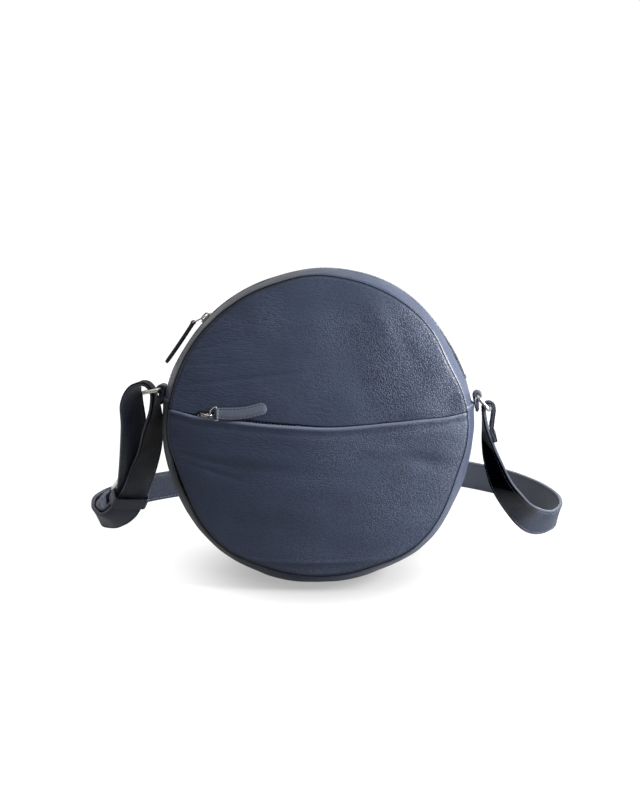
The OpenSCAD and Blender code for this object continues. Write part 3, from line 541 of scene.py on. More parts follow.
u, v = round_grid(np.sin(np.linspace(-math.pi / 2, math.pi / 2, 150)))
stretch = seam_radius + around(np.degrees(np.arctan2(v, u)), back_seam_wander)
r = np.hypot(u, v)
u, v, edge = u * stretch, v * stretch, np.clip((1 - r) * stretch, 0, None)
w = -(half_depth + leather + 3.0 * (1 - r ** 3)) - 0.8 * unevenness(51, 80, 1.3, u, v) * ramp(edge, 0, 20)
w = w - 0.2 * unevenness(52, 22, 2.0, u, v) + 1.8 * hump(edge, 0, 1.5)
# Painted shade in the seam groove
back_skin = grid_piece("back_skin", settle(bag_to_world(u, v, w)), outward=bag_middle,
    marks={"grain": 0.6 + 0.3 * unevenness(53, 60, 1.0, u, v),
        "flex": np.clip(0.4 + 0.3 * unevenness(54, 60, 1.0, u, v), 0, 1),
        "painted_shade": 0.97 * hump(edge, 0, 1.4), "painted_light": 0.0})
cover(back_skin, bag_leather, panel_thick)
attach(back_skin, "bag")
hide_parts("back_panel")

# Linings
# Grey cotton sewn in behind the leather: a round at the front, a round at the back and a long strip round the
# rim, and the wall between the pocket and the main compartment. The cloth hangs a little loose.
weave, entry, leave = shader_tree("plain weave", [("Vector", "NodeSocketVector", None),
    ("Threads per metre", "NodeSocketFloat", 1800.0)], [("Height", "NodeSocketFloat"), ("Over", "NodeSocketFloat")])
spread = add(weave, "ShaderNodeVectorMath", {"operation": "SCALE"}, i0=entry.outputs["Vector"],
    i3=entry.outputs["Threads per metre"])
parts = add(weave, "ShaderNodeSeparateXYZ", None, Vector=spread.outputs[0])
waves = [maths(weave, "SINE", maths(weave, "MULTIPLY", parts.outputs[letter], math.pi)) for letter in "XYZ"]
crossed = maths(weave, "MULTIPLY_ADD", waves[0], waves[1], maths(weave, "MULTIPLY", waves[0], waves[2]))
over = remap(weave, crossed, -1.0, 1.0, 0.0, 1.0)
feed(weave, leave, Height=over, Over=over)


def cloth_material(name, dark, light, threads, by_uv=False):
    """Woven cloth, with its threads going over and under."""
    material, tree, principled, place = new_material(name)
    vector = place.outputs["UV" if by_uv else "Object"]
    woven = add(tree, "ShaderNodeGroup", {"node_tree": weave}, Vector=vector, Threads_per_metre=threads)
    share = maths(tree, "MULTIPLY", woven.outputs["Over"], noise(tree, vector, 240.0, 3.0).outputs["Fac"])
    bump = add(tree, "ShaderNodeBump", None, Strength=0.6, Distance=0.0001, Height=woven.outputs["Height"])
    feed(tree, principled, Base_Color=between(tree, share, dark, light), Normal=bump.outputs[0], Roughness=0.85,
        Specular_IOR_Level=0.2)
    return material


lining_cloth = cloth_material("grey lining cotton", (0.07, 0.075, 0.09), (0.17, 0.18, 0.2), 2400.0)
lining_radius, lining_thick, floor_clear, rim_clear = 115.0, 0.0006, 0.0029, 0.0021
round_u, round_v = (part * lining_radius for part in round_grid(np.linspace(-1, 1, 60)))
for name, node, depth, seed in (("lining_front", "front_lining", 29.3, 61), ("lining_back", "back_lining", -35.3, 62)):
    hang = 0.35 * unevenness(seed, 40, 1.0, round_u, round_v)
    points = bag_to_world(round_u, round_v, depth + hang)
    points[..., 2] = np.maximum(points[..., 2], floor_clear)
    cloth = grid_piece(name, points, outward=(0, 1.0 if depth > 0 else -1.0, 0.1))
    cover(cloth, lining_cloth, lining_thick)
    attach(cloth, "bag")
    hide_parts(node)
angles = np.linspace(zip_end, 360 + zip_start, 160)[:, None]
depths = np.linspace(-35.0, 35.0, 30)[None, :]
loose = 2.2 + 0.3 * (1 + unevenness(63, 40, 1.0, angles * 2.0, depths))
radius = rim_radius - (rim_radius - seam_radius) * (depths / half_depth) ** 2 - loose
points = ring_to_world(radius, angles, depths)
points[..., 2] = np.maximum(points[..., 2], rim_clear)
lining_rim = grid_piece("lining_rim", points, outward=bag_middle)
cover(lining_rim, lining_cloth, lining_thick)
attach(lining_rim, "bag")
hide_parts("gusset_lining")
wall_above_zip, wall_share = -9.0, 0.965
u, v = (wall_share * places for places in front_fan([(0, wall_above_zip)], False, 90, 60))
w = 30.4 + 0.3 * unevenness(64, 40, 1.0, u, v)
climb = np.array([1.0, 0.66, 0.33])[:, None]
_, _, tape_w = pocket_zip_point(zip_sweep(u[0]), wall_above_zip, -0.6)
climbing = w[:1] + (tape_w - w[:1]) * climb
u, v, w = (np.concatenate(pair) for pair in ((u[:1] + 0 * climb, u), (v[:1] + 0 * climb, v), (climbing, w)))
points = bag_to_world(u, v, w)
points[..., 2] = np.maximum(points[..., 2], floor_clear)
pocket_wall = grid_piece("pocket_wall", points, outward=(0, 1.0, 0.1))
cover(pocket_wall, lining_cloth, lining_thick)
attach(pocket_wall, "bag")
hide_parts("pocket_lining")

# Zip tapes
# Dark navy woven tapes under the leather edges. Each has a thick woven bead along the teeth.
tape_cloth = cloth_material("navy zip tape", (0.008, 0.011, 0.022), (0.03, 0.04, 0.07), 900.0, by_uv=True)
tape_radius = 122.066
tape_section = [(3.0, 0.0), (3.2, 0.5), (3.8, 0.62), (4.4, 0.42), (5.2, 0.38), (8.0, 0.38), (11.0, 0.38), (14.0, 0.38),
    (14.0, -0.38), (11.0, -0.38), (8.0, -0.38), (5.2, -0.38), (4.4, -0.42), (3.8, -0.62), (3.2, -0.5)]
tape_across, tape_lift = np.array(tape_section).T[:, None, :]


def close_solid(piece, merge=0.0, ends=True):
    """Merges doubles within a distance, closes open ends and turns the faces outwards."""
    solid = bmesh.new()
    solid.from_mesh(piece.data)
    if merge:
        bmesh.ops.remove_doubles(solid, verts=solid.verts, dist=merge)
    if ends:
        bmesh.ops.holes_fill(solid, edges=[e for e in solid.edges if e.is_boundary], sides=0)
    bmesh.ops.recalc_face_normals(solid, faces=solid.faces)
    solid.to_mesh(piece.data)
    solid.free()


angles = np.linspace(zip_start, zip_end, 200)[:, None]
for name, node, side in (("tape_rim_front", "rim_tape_front", 1), ("tape_rim_back", "rim_tape_back", -1)):
    points = ring_to_world(tape_radius + tape_lift + 0 * angles, angles, side * tape_across + 0 * angles)
    uv = np.stack(np.broadcast_arrays(np.radians(angles) * 0.122, tape_across / 1000), -1)
    tape = grid_piece(name, points, uv=uv, wrap=True)
    close_solid(tape)
    tape.data.materials.append(tape_cloth)
    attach(tape, "bag")
    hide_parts(node)
sweep = np.linspace(-13.28, 13.28, 120)[:, None]
across = np.minimum(tape_across, 9.6)
across[0, 0] += 0.05
for name, node, side in (("tape_pocket_upper", "pocket_tape_upper", -1), ("tape_pocket_lower", "pocket_tape_lower", 1)):
    u, v, w = pocket_zip_point(sweep + 0 * across, side * across, tape_lift)
    uv = np.stack(np.broadcast_arrays(np.radians(sweep) * 0.49, across / 1000), -1)
    tape = grid_piece(name, bag_to_world(u, v, w), uv=uv, wrap=True)
    close_solid(tape, merge=1e-6)
    tape.data.materials.append(tape_cloth)
    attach(tape, "bag")
    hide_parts(node)

# Zip teeth
# Two rows of pressed metal teeth, crimped to the beads of the tapes so that the rows mesh. The same tree lays
# out both zips: it walks along a line and sets one tooth at each step, turned with the line.
scratches, entry, leave = shader_tree("metal handling marks", [("Vector", "NodeSocketVector", None),
    ("Scale", "NodeSocketFloat", 300.0)], [("Rough", "NodeSocketFloat"), ("Dull", "NodeSocketFloat")])
drawn = add(scratches, "ShaderNodeMapping", None, Vector=entry.outputs["Vector"], Scale=(1.0, 6.0, 1.0))
rubbing = noise(scratches, drawn.outputs[0], entry.outputs["Scale"], 4.0)
blot = noise(scratches, entry.outputs["Vector"], 90.0, 2.0)
feed(scratches, leave, Rough=remap(scratches, rubbing.outputs["Fac"], 0.35, 0.75, 0.0, 1.0),
    Dull=remap(scratches, blot.outputs["Fac"], 0.4, 0.7, 0.0, 1.0))


def metal_material(name, bright, dull, low, high):
    """Plated metal, a little scratched and dulled where it is handled."""
    material, tree, principled, place = new_material(name)
    handled = add(tree, "ShaderNodeGroup", {"node_tree": scratches}, Vector=place.outputs["Object"])
    feed(tree, principled, Base_Color=between(tree, handled.outputs["Dull"], bright, dull), Metallic=1.0,
        Roughness=remap(tree, handled.outputs["Rough"], 0.0, 1.0, low, high))
    return material


nickel = metal_material("polished nickel", (0.72, 0.70, 0.67), (0.50, 0.48, 0.46), 0.16, 0.34)
tooth_metal = metal_material("zip tooth metal", (0.62, 0.58, 0.50), (0.42, 0.39, 0.33), 0.24, 0.42)


def path_object(name, points, lay):
    """Loose line of points with the direction that things laid along it face."""
    mesh = bpy.data.meshes.new(name)
    mesh.from_pydata(points.tolist(), [(i, i + 1) for i in range(len(points) - 1)], [])
    attribute = mesh.attributes.new("lay", "FLOAT_VECTOR", "POINT")
    attribute.data.foreach_set("vector", np.asarray(lay, np.float32).ravel())
    line = bpy.data.objects.new(name, mesh)
    bpy.context.scene.collection.objects.link(line)
    return line


def walking_tree(name, sizes):
    """Geometry tree that walks along its line and sets an item at each step; the item comes from the caller."""
    tree = bpy.data.node_groups.new(name, "GeometryNodeTree")
    tree.interface.new_socket("Geometry", in_out="INPUT", socket_type="NodeSocketGeometry")
    for label, default in sizes:
        kind = "NodeSocketInt" if label == "Seed" else "NodeSocketFloat"
        tree.interface.new_socket(label, in_out="INPUT", socket_type=kind).default_value = default
    tree.interface.new_socket("Material", in_out="INPUT", socket_type="NodeSocketMaterial")
    tree.interface.new_socket("Geometry", in_out="OUTPUT", socket_type="NodeSocketGeometry")
    entry, leave = tree.nodes.new("NodeGroupInput"), tree.nodes.new("NodeGroupOutput")
    curve = add(tree, "GeometryNodeMeshToCurve", None, Mesh=entry.outputs["Geometry"])
    steps = add(tree, "GeometryNodeResampleCurve", {"mode": "LENGTH"}, Curve=curve.outputs[0],
        Length=entry.outputs["Pitch"])
    tangent = add(tree, "GeometryNodeInputTangent")
    lay = add(tree, "GeometryNodeInputNamedAttribute", {"data_type": "FLOAT_VECTOR"}, Name="lay")
    along = add(tree, "FunctionNodeAlignRotationToVector", {"axis": "X"}, Vector=tangent.outputs[0])
    facing = add(tree, "FunctionNodeAlignRotationToVector", {"axis": "Z", "pivot_axis": "X"},
        Rotation=along.outputs[0], Vector=lay.outputs[0])
    chance = add(tree, "FunctionNodeRandomValue", {"data_type": "FLOAT"}, i2=-1.0, i3=1.0, Seed=entry.outputs["Seed"])
    loose = maths(tree, "MULTIPLY_ADD", chance.outputs[1], entry.outputs["Looseness"], entry.outputs["Slant"])
    about = add(tree, "ShaderNodeCombineXYZ", None, Z=loose)
    turned = add(tree, "FunctionNodeRotateRotation", {"rotation_space": "LOCAL"}, Rotation=facing.outputs[0],
        i1=about.outputs[0])
    placed = add(tree, "GeometryNodeInstanceOnPoints", None, Points=steps.outputs[0], Rotation=turned.outputs[0])
    real = add(tree, "GeometryNodeRealizeInstances", None, Geometry=placed.outputs[0])
    painted = add(tree, "GeometryNodeSetMaterial", None, Geometry=real.outputs[0], Material=entry.outputs["Material"])
    tree.links.new(painted.outputs[0], leave.inputs[0])
    return tree, entry, placed


def walk(line, tree, name, values, smooth=True):
    """Runs a walking tree on a line and returns its result as a plain mesh object."""
    work = line.modifiers.new("walk", "NODES")
    work.node_group = tree
    for item in tree.interface.items_tree:
        if item.in_out == "INPUT" and item.name in values:
            work[item.identifier] = values[item.name]
    bpy.context.view_layer.update()
    seen = line.evaluated_get(bpy.context.evaluated_depsgraph_get())
    mesh = bpy.data.meshes.new_from_object(seen)
    mesh.name = name
    line.modifiers.remove(work)
    bpy.data.objects.remove(line)
    if smooth:
        mesh.shade_smooth()
    made = bpy.data.objects.new(name, mesh)
    bpy.context.scene.collection.objects.link(made)
    return made


tooth_pitch, row_offset = 0.0025, 1.7
tooth_sizes = [("Pitch", tooth_pitch), ("Length", 0.0013), ("Reach", 0.0028), ("Height", 0.0024), ("Slant", 0.0),
    ("Looseness", 0.03), ("Seed", 3)]
tooth_tree, entry, placed = walking_tree("zip tooth row", tooth_sizes)
length, reach, height = (entry.outputs[size] for size in ("Length", "Reach", "Height"))
body_size = add(tooth_tree, "ShaderNodeCombineXYZ", None, X=length, Y=reach, Z=height)
body = add(tooth_tree, "GeometryNodeMeshCube", None, Size=body_size.outputs[0])
head = add(tooth_tree, "GeometryNodeMeshCylinder", None, Vertices=10,
    Radius=maths(tooth_tree, "MULTIPLY", length, 0.62), Depth=maths(tooth_tree, "MULTIPLY", height, 0.86))
head_place = add(tooth_tree, "ShaderNodeCombineXYZ", None, Y=maths(tooth_tree, "MULTIPLY", reach, -0.42))
head_moved = add(tooth_tree, "GeometryNodeTransform", None, Geometry=head.outputs[0], Translation=head_place.outputs[0])
tooth = add(tooth_tree, "GeometryNodeJoinGeometry")
tooth_tree.links.new(head_moved.outputs[0], tooth.inputs[0])
tooth_tree.links.new(body.outputs[0], tooth.inputs[0])
tooth_tree.links.new(tooth.outputs[0], placed.inputs["Instance"])
tooth_values = dict(tooth_sizes) | {"Material": tooth_metal}

tooth_angle = math.degrees(tooth_pitch * 1000 / tape_radius)
for name, node, side, shift in (("teeth_rim_front", "rim_teeth_front", 1, 0.0),
        ("teeth_rim_back", "rim_teeth_back", -1, 0.5)):
    angles = np.linspace(20.4 + shift * tooth_angle, 159.0 + shift * tooth_angle, 400)
    if side < 0:
        angles = angles[::-1]
    points = ring_to_world(tape_radius, angles, np.full_like(angles, side * row_offset))
    outwards = (ring_to_world(1.0, angles, 0.0) - bag_to_world(0.0, 0.0, 0.0)) * 1000
    teeth = walk(path_object(name + "_line", points, outwards), tooth_tree, name, tooth_values, smooth=False)
    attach(teeth, "bag")
    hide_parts(node)
tooth_angle = math.degrees(tooth_pitch * 1000 / arc_radius)
for name, node, side, shift in (("teeth_pocket_upper", "pocket_teeth_upper", -1, 0.0),
        ("teeth_pocket_lower", "pocket_teeth_lower", 1, 0.5)):
    sweep = np.linspace(-12.7 + shift * tooth_angle, 12.4 + shift * tooth_angle, 300)
    if side < 0:
        sweep = sweep[::-1]
    points = bag_to_world(*pocket_zip_point(sweep, side * row_offset, 0.0))
    forward = (bag_to_world(0.0, math.sin(arc_tilt), math.cos(arc_tilt)) - bag_to_world(0.0, 0.0, 0.0)) * 1000
    line = path_object(name + "_line", points, np.tile(forward, (len(sweep), 1)))
    teeth = walk(line, tooth_tree, name, tooth_values, smooth=False)
    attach(teeth, "bag")
    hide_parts(node)


def plate(names, smooth=True):
    """Nickel plating on wire and stops that are shown as they are in the part."""
    for node in names:
        mesh = nodes[node].data
        mesh.materials.clear()
        mesh.materials.append(nickel)
        if smooth:
            mesh.shade_smooth()


plate(("rim_zip_stops", "pocket_zip_stops"), smooth=False)

# Sliders
# Cast and plated zip sliders: two pointed plates joined by a wedge, with rolled sides over the teeth and a
# bridge on top that holds the puller link.
def spun(degrees, axis):
    """Turn about an axis."""
    return Matrix.Rotation(math.radians(degrees), 4, axis)


def moved(x, y, z):
    """Move in millimetres."""
    return Matrix.Translation((x / 1000, y / 1000, z / 1000))


rim_slider_at, pocket_slider_u = 137, -85.0
bag_frame = moved(0, 0, middle_height) @ spun(80, "X")
rim_slider_frame = bag_frame @ spun(rim_slider_at, "Z") @ moved(tape_radius, 0, 0) @ spun(90, "Z") @ spun(90, "X")
pocket_arc_frame = bag_frame @ moved(*arc_middle) @ Matrix.Rotation(-arc_tilt, 4, "X") @ spun(-90, "Z")
pocket_slider_turn = Matrix.Rotation(math.asin(pocket_slider_u / arc_radius), 4, "Z")
pocket_slider_frame = pocket_arc_frame @ pocket_slider_turn @ moved(arc_radius, 0, 0) @ spun(90, "Z")
slider_outline = [(-5.2, -2.2), (-5.2, 2.2), (-4.4, 3.3), (-1.5, 3.7), (0.8, 4.2), (3.6, 4.25), (4.7, 3.4), (5.25, 1.6),
    (5.25, -1.6), (4.7, -3.4), (3.6, -4.25), (0.8, -4.2), (-1.5, -3.7), (-4.4, -3.3)]


def slab(mesh, outline, low, high, bevel=0.0):
    """Adds a flat plate of an outline in millimetres to a bmesh, with rounded edges."""
    ring = [mesh.verts.new((x, y, low)) for x, y in outline]
    bottom = mesh.faces.new(ring)
    raised = bmesh.ops.extrude_face_region(mesh, geom=[bottom])["geom"]
    top = [g for g in raised if isinstance(g, bmesh.types.BMVert)]
    bmesh.ops.translate(mesh, verts=top, vec=(0, 0, high - low))
    if bevel:
        faces = {g for g in raised if isinstance(g, bmesh.types.BMFace)} | {bottom}
        rims = [e for e in mesh.edges if 0 < sum(f in faces for f in e.link_faces) < len(e.link_faces)]
        bmesh.ops.bevel(mesh, geom=rims, offset=bevel, segments=2, profile=0.5, affect="EDGES")


def tube(mesh, path, radius, sides=10, closed=False):
    """Adds a round rod along a path in millimetres to a bmesh."""
    path = np.asarray(path, float)
    count = len(path)
    rings = []
    normal = None
    for i in range(count):
        ahead = path[(i + 1) % count] if closed or i < count - 1 else path[i]
        behind = path[i - 1] if closed or i > 0 else path[i]
        direction = (ahead - behind) / np.linalg.norm(ahead - behind)
        if normal is None:
            normal = np.cross(direction, (0, 0, 1) if abs(direction[2]) < 0.9 else (1, 0, 0))
        normal = normal - normal.dot(direction) * direction
        normal = normal / np.linalg.norm(normal)
        other = np.cross(direction, normal)
        ring = []
        for k in range(sides):
            turn = 2 * math.pi * k / sides
            ring.append(mesh.verts.new(path[i] + (normal * math.cos(turn) + other * math.sin(turn)) * radius))
        rings.append(ring)
    for i in range(count if closed else count - 1):
        one, two = rings[i], rings[(i + 1) % count]
        for k in range(sides):
            mesh.faces.new((one[k], one[(k + 1) % sides], two[(k + 1) % sides], two[k]))
    if not closed:
        mesh.faces.new(rings[0][::-1])
        mesh.faces.new(rings[-1])


def rounded(points, radius, steps=5):
    """A path of straight runs with its corners rounded."""
    made = [np.asarray(points[0], float)]
    for i in range(1, len(points) - 1):
        before, here, after = (np.asarray(points[k], float) for k in (i - 1, i, i + 1))
        a, b = before - here, after - here
        cut = min(radius, np.linalg.norm(a) * 0.45, np.linalg.norm(b) * 0.45)
        start, end = here + a / np.linalg.norm(a) * cut, here + b / np.linalg.norm(b) * cut
        for s in np.linspace(0, 1, steps):
            made.append((1 - s) ** 2 * start + 2 * s * (1 - s) * here + s ** 2 * end)
    made.append(np.asarray(points[-1], float))
    return made


def finish_metal(mesh, name, place, body, node):
    """Turns a bmesh in millimetres into a metal piece on its body."""
    bmesh.ops.recalc_face_normals(mesh, faces=mesh.faces)
    bmesh.ops.scale(mesh, vec=(0.001, 0.001, 0.001), verts=mesh.verts)
    bmesh.ops.transform(mesh, matrix=place, verts=mesh.verts)
    data = bpy.data.meshes.new(name)
    mesh.to_mesh(data)
    mesh.free()
    data.materials.append(nickel)
    data.shade_smooth()
    data.set_sharp_from_angle(angle=math.radians(40))
    piece = bpy.data.objects.new(name, data)
    bpy.context.scene.collection.objects.link(piece)
    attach(piece, body)
    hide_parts(node)
    return piece


plate_low, plate_high, pivot_height = 1.45, 2.45, 3.35
for name, place, body in (("slider_rim", rim_slider_frame, "rim_slider"),
        ("slider_pocket", pocket_slider_frame, "pocket_slider")):
    work = bmesh.new()
    slab(work, slider_outline, plate_low, plate_high, 0.3)
    slab(work, slider_outline, -plate_high, -plate_low, 0.3)
    slab(work, [(1.3, -0.35), (4.2, -0.35), (4.2, 0.35), (1.3, 0.35)], -plate_low, plate_low)
    for edge_side in (-1, 1):
        outline = [(-2.0, edge_side * 3.3), (4.0, edge_side * 3.3), (4.0, edge_side * 4.2), (-2.0, edge_side * 3.9)]
        slab(work, outline, 0.7, plate_high - 0.1)
        slab(work, outline, -plate_high + 0.1, -0.7)
    foot, crown = plate_high - 0.4, plate_high + 2.0
    arch = [(-3.3, 0, foot), (-3.1, 0, crown), (3.1, 0, crown), (3.3, 0, foot)]
    tube(work, rounded(arch, 1.5), 0.75)
    finish_metal(work, name, place, body, body)

# Puller links
# A small forked link of plated wire. Its narrow bar hangs in the slider's bridge, and its wide bar carries the
# leather tab.
link_length = 10.5
to_pivot, to_tab = moved(0, 0, pivot_height), moved(link_length, 0, 0)
rim_link_frame = rim_slider_frame @ to_pivot @ spun(-18, "Y")
rim_tab_frame = rim_link_frame @ to_tab @ spun(29, "Y")
pocket_link_frame = pocket_slider_frame @ to_pivot @ spun(18, "Z") @ spun(-38, "Y")
pocket_tab_frame = pocket_link_frame @ to_tab @ spun(37.5, "Y")
for name, place, body in (("link_rim", rim_link_frame, "rim_pull_link"),
        ("link_pocket", pocket_link_frame, "pocket_pull_link")):
    work = bmesh.new()
    loop = [(0, 0, 0), (0, 2.6, 0), (2.5, 2.6, 0), (8.0, 5.3, 0), (link_length, 5.3, 0)]
    loop += [(x, -y, z) for x, y, z in loop[::-1]]
    tube(work, rounded(loop, 1.0)[:-1], 0.64, closed=True)
    web = [(1.2, -2.4), (2.6, -2.5), (5.4, -4.4), (4.4, -1.6), (3.9, 0), (4.4, 1.6), (5.4, 4.4), (2.6, 2.5), (1.2, 2.4),
        (1.6, 0)]
    slab(work, web, -0.45, 0.45, 0.15)
    finish_metal(work, name, place, body, body)

# Puller tabs
# A strip of dark navy leather folded round the link's wide bar and sewn together along its edges, with a
# rounded end. The edges are painted.
tab_leather = leather_material("puller tab leather", (0.06, 0.07, 0.098), (0.045, 0.053, 0.077), (0.18, 0.2, 0.26),
    roughness=0.5, cell=0.0008, grain_depth=0.00006, line_depth=0.00004, line_stretch=(1.0, 3.0, 1.0))
edge_paint = leather_material("painted leather edge", (0.05, 0.058, 0.082), (0.036, 0.043, 0.063),
    (0.16, 0.175, 0.21), roughness=0.42, cell=0.002, grain_depth=0.00003, line_depth=0.00003)
thread_cloth = cloth_material("waxed sewing thread", (0.08, 0.095, 0.13), (0.2, 0.22, 0.28), 3000.0)
dark_thread = cloth_material("dark waxed thread", (0.004, 0.005, 0.009), (0.016, 0.02, 0.032), 3000.0)


def unit(vectors):
    """Vectors made 1 long."""
    return vectors / np.linalg.norm(vectors, axis=-1, keepdims=True)


def sewn_strip(name, mid, across, face, half_width, half_thick, groove_at, groove_depth, marks, closed=False):
    """Strip of two sewn leather layers along a path in metres; its last material slot is the painted edges."""
    count = len(mid)
    half_width = np.broadcast_to(half_width, (count,))
    half_thick = np.broadcast_to(half_thick, (count,))
    tops = [(0.0, 0.0), (0.1, 0.5), (0.35, 0.84), (0.8, 0.97), (groove_at - 0.5, 1.0), (groove_at, 1.0 - groove_depth),
        (groove_at + 0.5, 1.0), (groove_at + 2.0, 1.03)]
    section = [(-1, e, h) for e, h in tops] + [(0, 0, 1.04)] + [(1, e, h) for e, h in tops[::-1]]
    section = section + [(1, e, -h) for e, h in tops[1:]] + [(0, 0, -1.04)] + [(-1, e, -h) for e, h in tops[:0:-1]]
    columns = len(section)
    points = np.zeros((count, columns, 3))
    uv = np.zeros((count, columns, 2))
    length = np.concatenate([[0], np.cumsum(np.linalg.norm(np.diff(mid, axis=0), axis=1))])
    for k, (sign, edge, height) in enumerate(section):
        offset = np.clip(half_width - edge / 1000, 0, None) * sign
        points[:, k] = mid + across * offset[:, None] + face * (half_thick * height)[:, None]
        uv[:, k, 0] = length
        uv[:, k, 1] = offset + (0.04 if height < 0 else 0.0)
    if closed:
        points = np.concatenate([points, points[:1]])
        uv = np.concatenate([uv, uv[:1]])
        uv[-1, :, 0] = length[-1] + np.linalg.norm(mid[0] - mid[-1])
    piece = grid_piece(name, points, uv=uv, wrap=True, marks={"painted_shade": 0.0, "painted_light": 0.0} | marks)
    index = np.zeros((len(points) - 1, columns), np.int32)
    for k, (sign, edge, _) in enumerate(section):
        next_sign, next_edge, _ = section[(k + 1) % columns]
        if sign and sign == next_sign and edge < 0.8 and next_edge < 0.8:
            index[:, k] = 1
    piece.data.polygons.foreach_set("material_index", index.ravel())
    close_solid(piece, merge=2e-6, ends=not closed)
    piece.data.shade_smooth()
    return piece


stitch_sizes = [("Pitch", 0.0032), ("Length", 0.0023), ("Width", 0.0006), ("Height", 0.00045), ("Slant", 0.12),
    ("Looseness", 0.05), ("Seed", 5)]
stitch_tree, entry, placed = walking_tree("row of stitches", stitch_sizes)
bead = add(stitch_tree, "GeometryNodeMeshUVSphere", None, Segments=8, Rings=5, Radius=0.5)
bead_size = add(stitch_tree, "ShaderNodeCombineXYZ", None, X=entry.outputs["Length"], Y=entry.outputs["Width"],
    Z=entry.outputs["Height"])
bead_made = add(stitch_tree, "GeometryNodeTransform", None, Geometry=bead.outputs[0], Scale=bead_size.outputs[0])
stitch_tree.links.new(bead_made.outputs[0], placed.inputs["Instance"])


def stitches(name, runs, body, pitch=0.0032, length=0.0023, thread=thread_cloth):
    """Rows of stitches along runs of points and facings, joined to one piece on a body."""
    made = []
    for i, (points, lay) in enumerate(runs):
        values = dict(stitch_sizes) | {"Pitch": pitch, "Length": length, "Seed": 5 + i, "Material": thread}
        line = path_object(f"{name}_line{i}", np.asarray(points), lay)
        made.append(walk(line, stitch_tree, name, values))
    first = made[0]
    if len(made) > 1:
        joined = bmesh.new()
        for m in made:
            joined.from_mesh(m.data)
        joined.to_mesh(first.data)
        joined.free()
        for m in made[1:]:
            bpy.data.objects.remove(m)
    first.data.shade_smooth()
    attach(first, body)
    return first


tab_length, tab_half, tab_thick, eye_radius, tab_inset = 39.0, 4.9, 1.5, 1.89, 1.7
end_at = tab_length - tab_half
for name, place, body, bow, sag in (("tab_rim", rim_tab_frame, "rim_pull_tab", 0.0, 1.2),
        ("tab_pocket", pocket_tab_frame, "pocket_pull_tab", -2.2, -0.9)):
    round_end = tab_length - tab_half * (1 - np.sin(np.linspace(0.02, math.pi / 2, 18)))
    x = np.sort(np.concatenate([np.linspace(-1.85, 2.0, 14), np.linspace(2.6, 30, 36), round_end]))
    eye = eye_radius * np.sqrt(np.clip(1 - (x / eye_radius) ** 2, 0, 1))
    end = ramp(x, end_at, tab_half)
    thick = np.where(x < 0, eye, np.maximum(eye, tab_thick - 0.12 * ramp(x, 1, 3))) * (1 - 0.25 * end ** 4)
    width = tab_half * np.sqrt(np.clip(1 - end ** 2, 0.0, 1)) * (1 - 0.08 * hump(x, 0, 3.2, 4)) + 0.02
    past_eye = np.clip(x, 0, None) / tab_length
    mid_y, mid_z = bow * np.sin(np.pi * past_eye), sag * past_eye ** 2
    mid = np.stack([x, mid_y, mid_z], -1)
    across = unit(np.stack([-np.gradient(mid_y, x), np.ones_like(x), 0 * x], -1))
    face = unit(np.stack([-np.gradient(mid_z, x), 0 * x, np.ones_like(x)], -1))
    turn, start = np.array(place.to_3x3()), np.array(place.translation)
    tab = sewn_strip(name, mid @ turn.T / 1000 + start, across @ turn.T, face @ turn.T, np.maximum(width, 0.02) / 1000,
        np.maximum(thick, 0.05) / 1000, groove_at=tab_inset, groove_depth=0.14, marks={"grain": 0.5, "flex": 0.2})
    tab.data.materials.append(tab_leather)
    tab.data.materials.append(edge_paint)
    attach(tab, body)
    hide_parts(body)
    quarter = math.pi / 2
    along = np.concatenate([np.linspace(3.4, end_at, 40), np.full(24, end_at), np.linspace(end_at, 3.4, 40)])
    turn_end = np.concatenate([np.full(40, quarter), np.linspace(quarter, -quarter, 24), np.full(40, -quarter)])
    px = along + (tab_half - tab_inset) * np.cos(turn_end)
    py = (tab_half - tab_inset) * np.sin(turn_end) + np.interp(px, x, mid_y)
    runs = []
    for front in (1, -1):
        pz = np.interp(px, x, mid_z) + front * (np.interp(px, x, thick) - 0.1)
        lay = np.tile(front * np.array([0, 0, 1.0]) @ turn.T, (len(px), 1))
        runs.append((np.stack([px, py, pz], -1) @ turn.T / 1000 + start, lay))
    stitches(name + "_stitches", runs, body, pitch=0.0027, length=0.0018, thread=dark_thread)

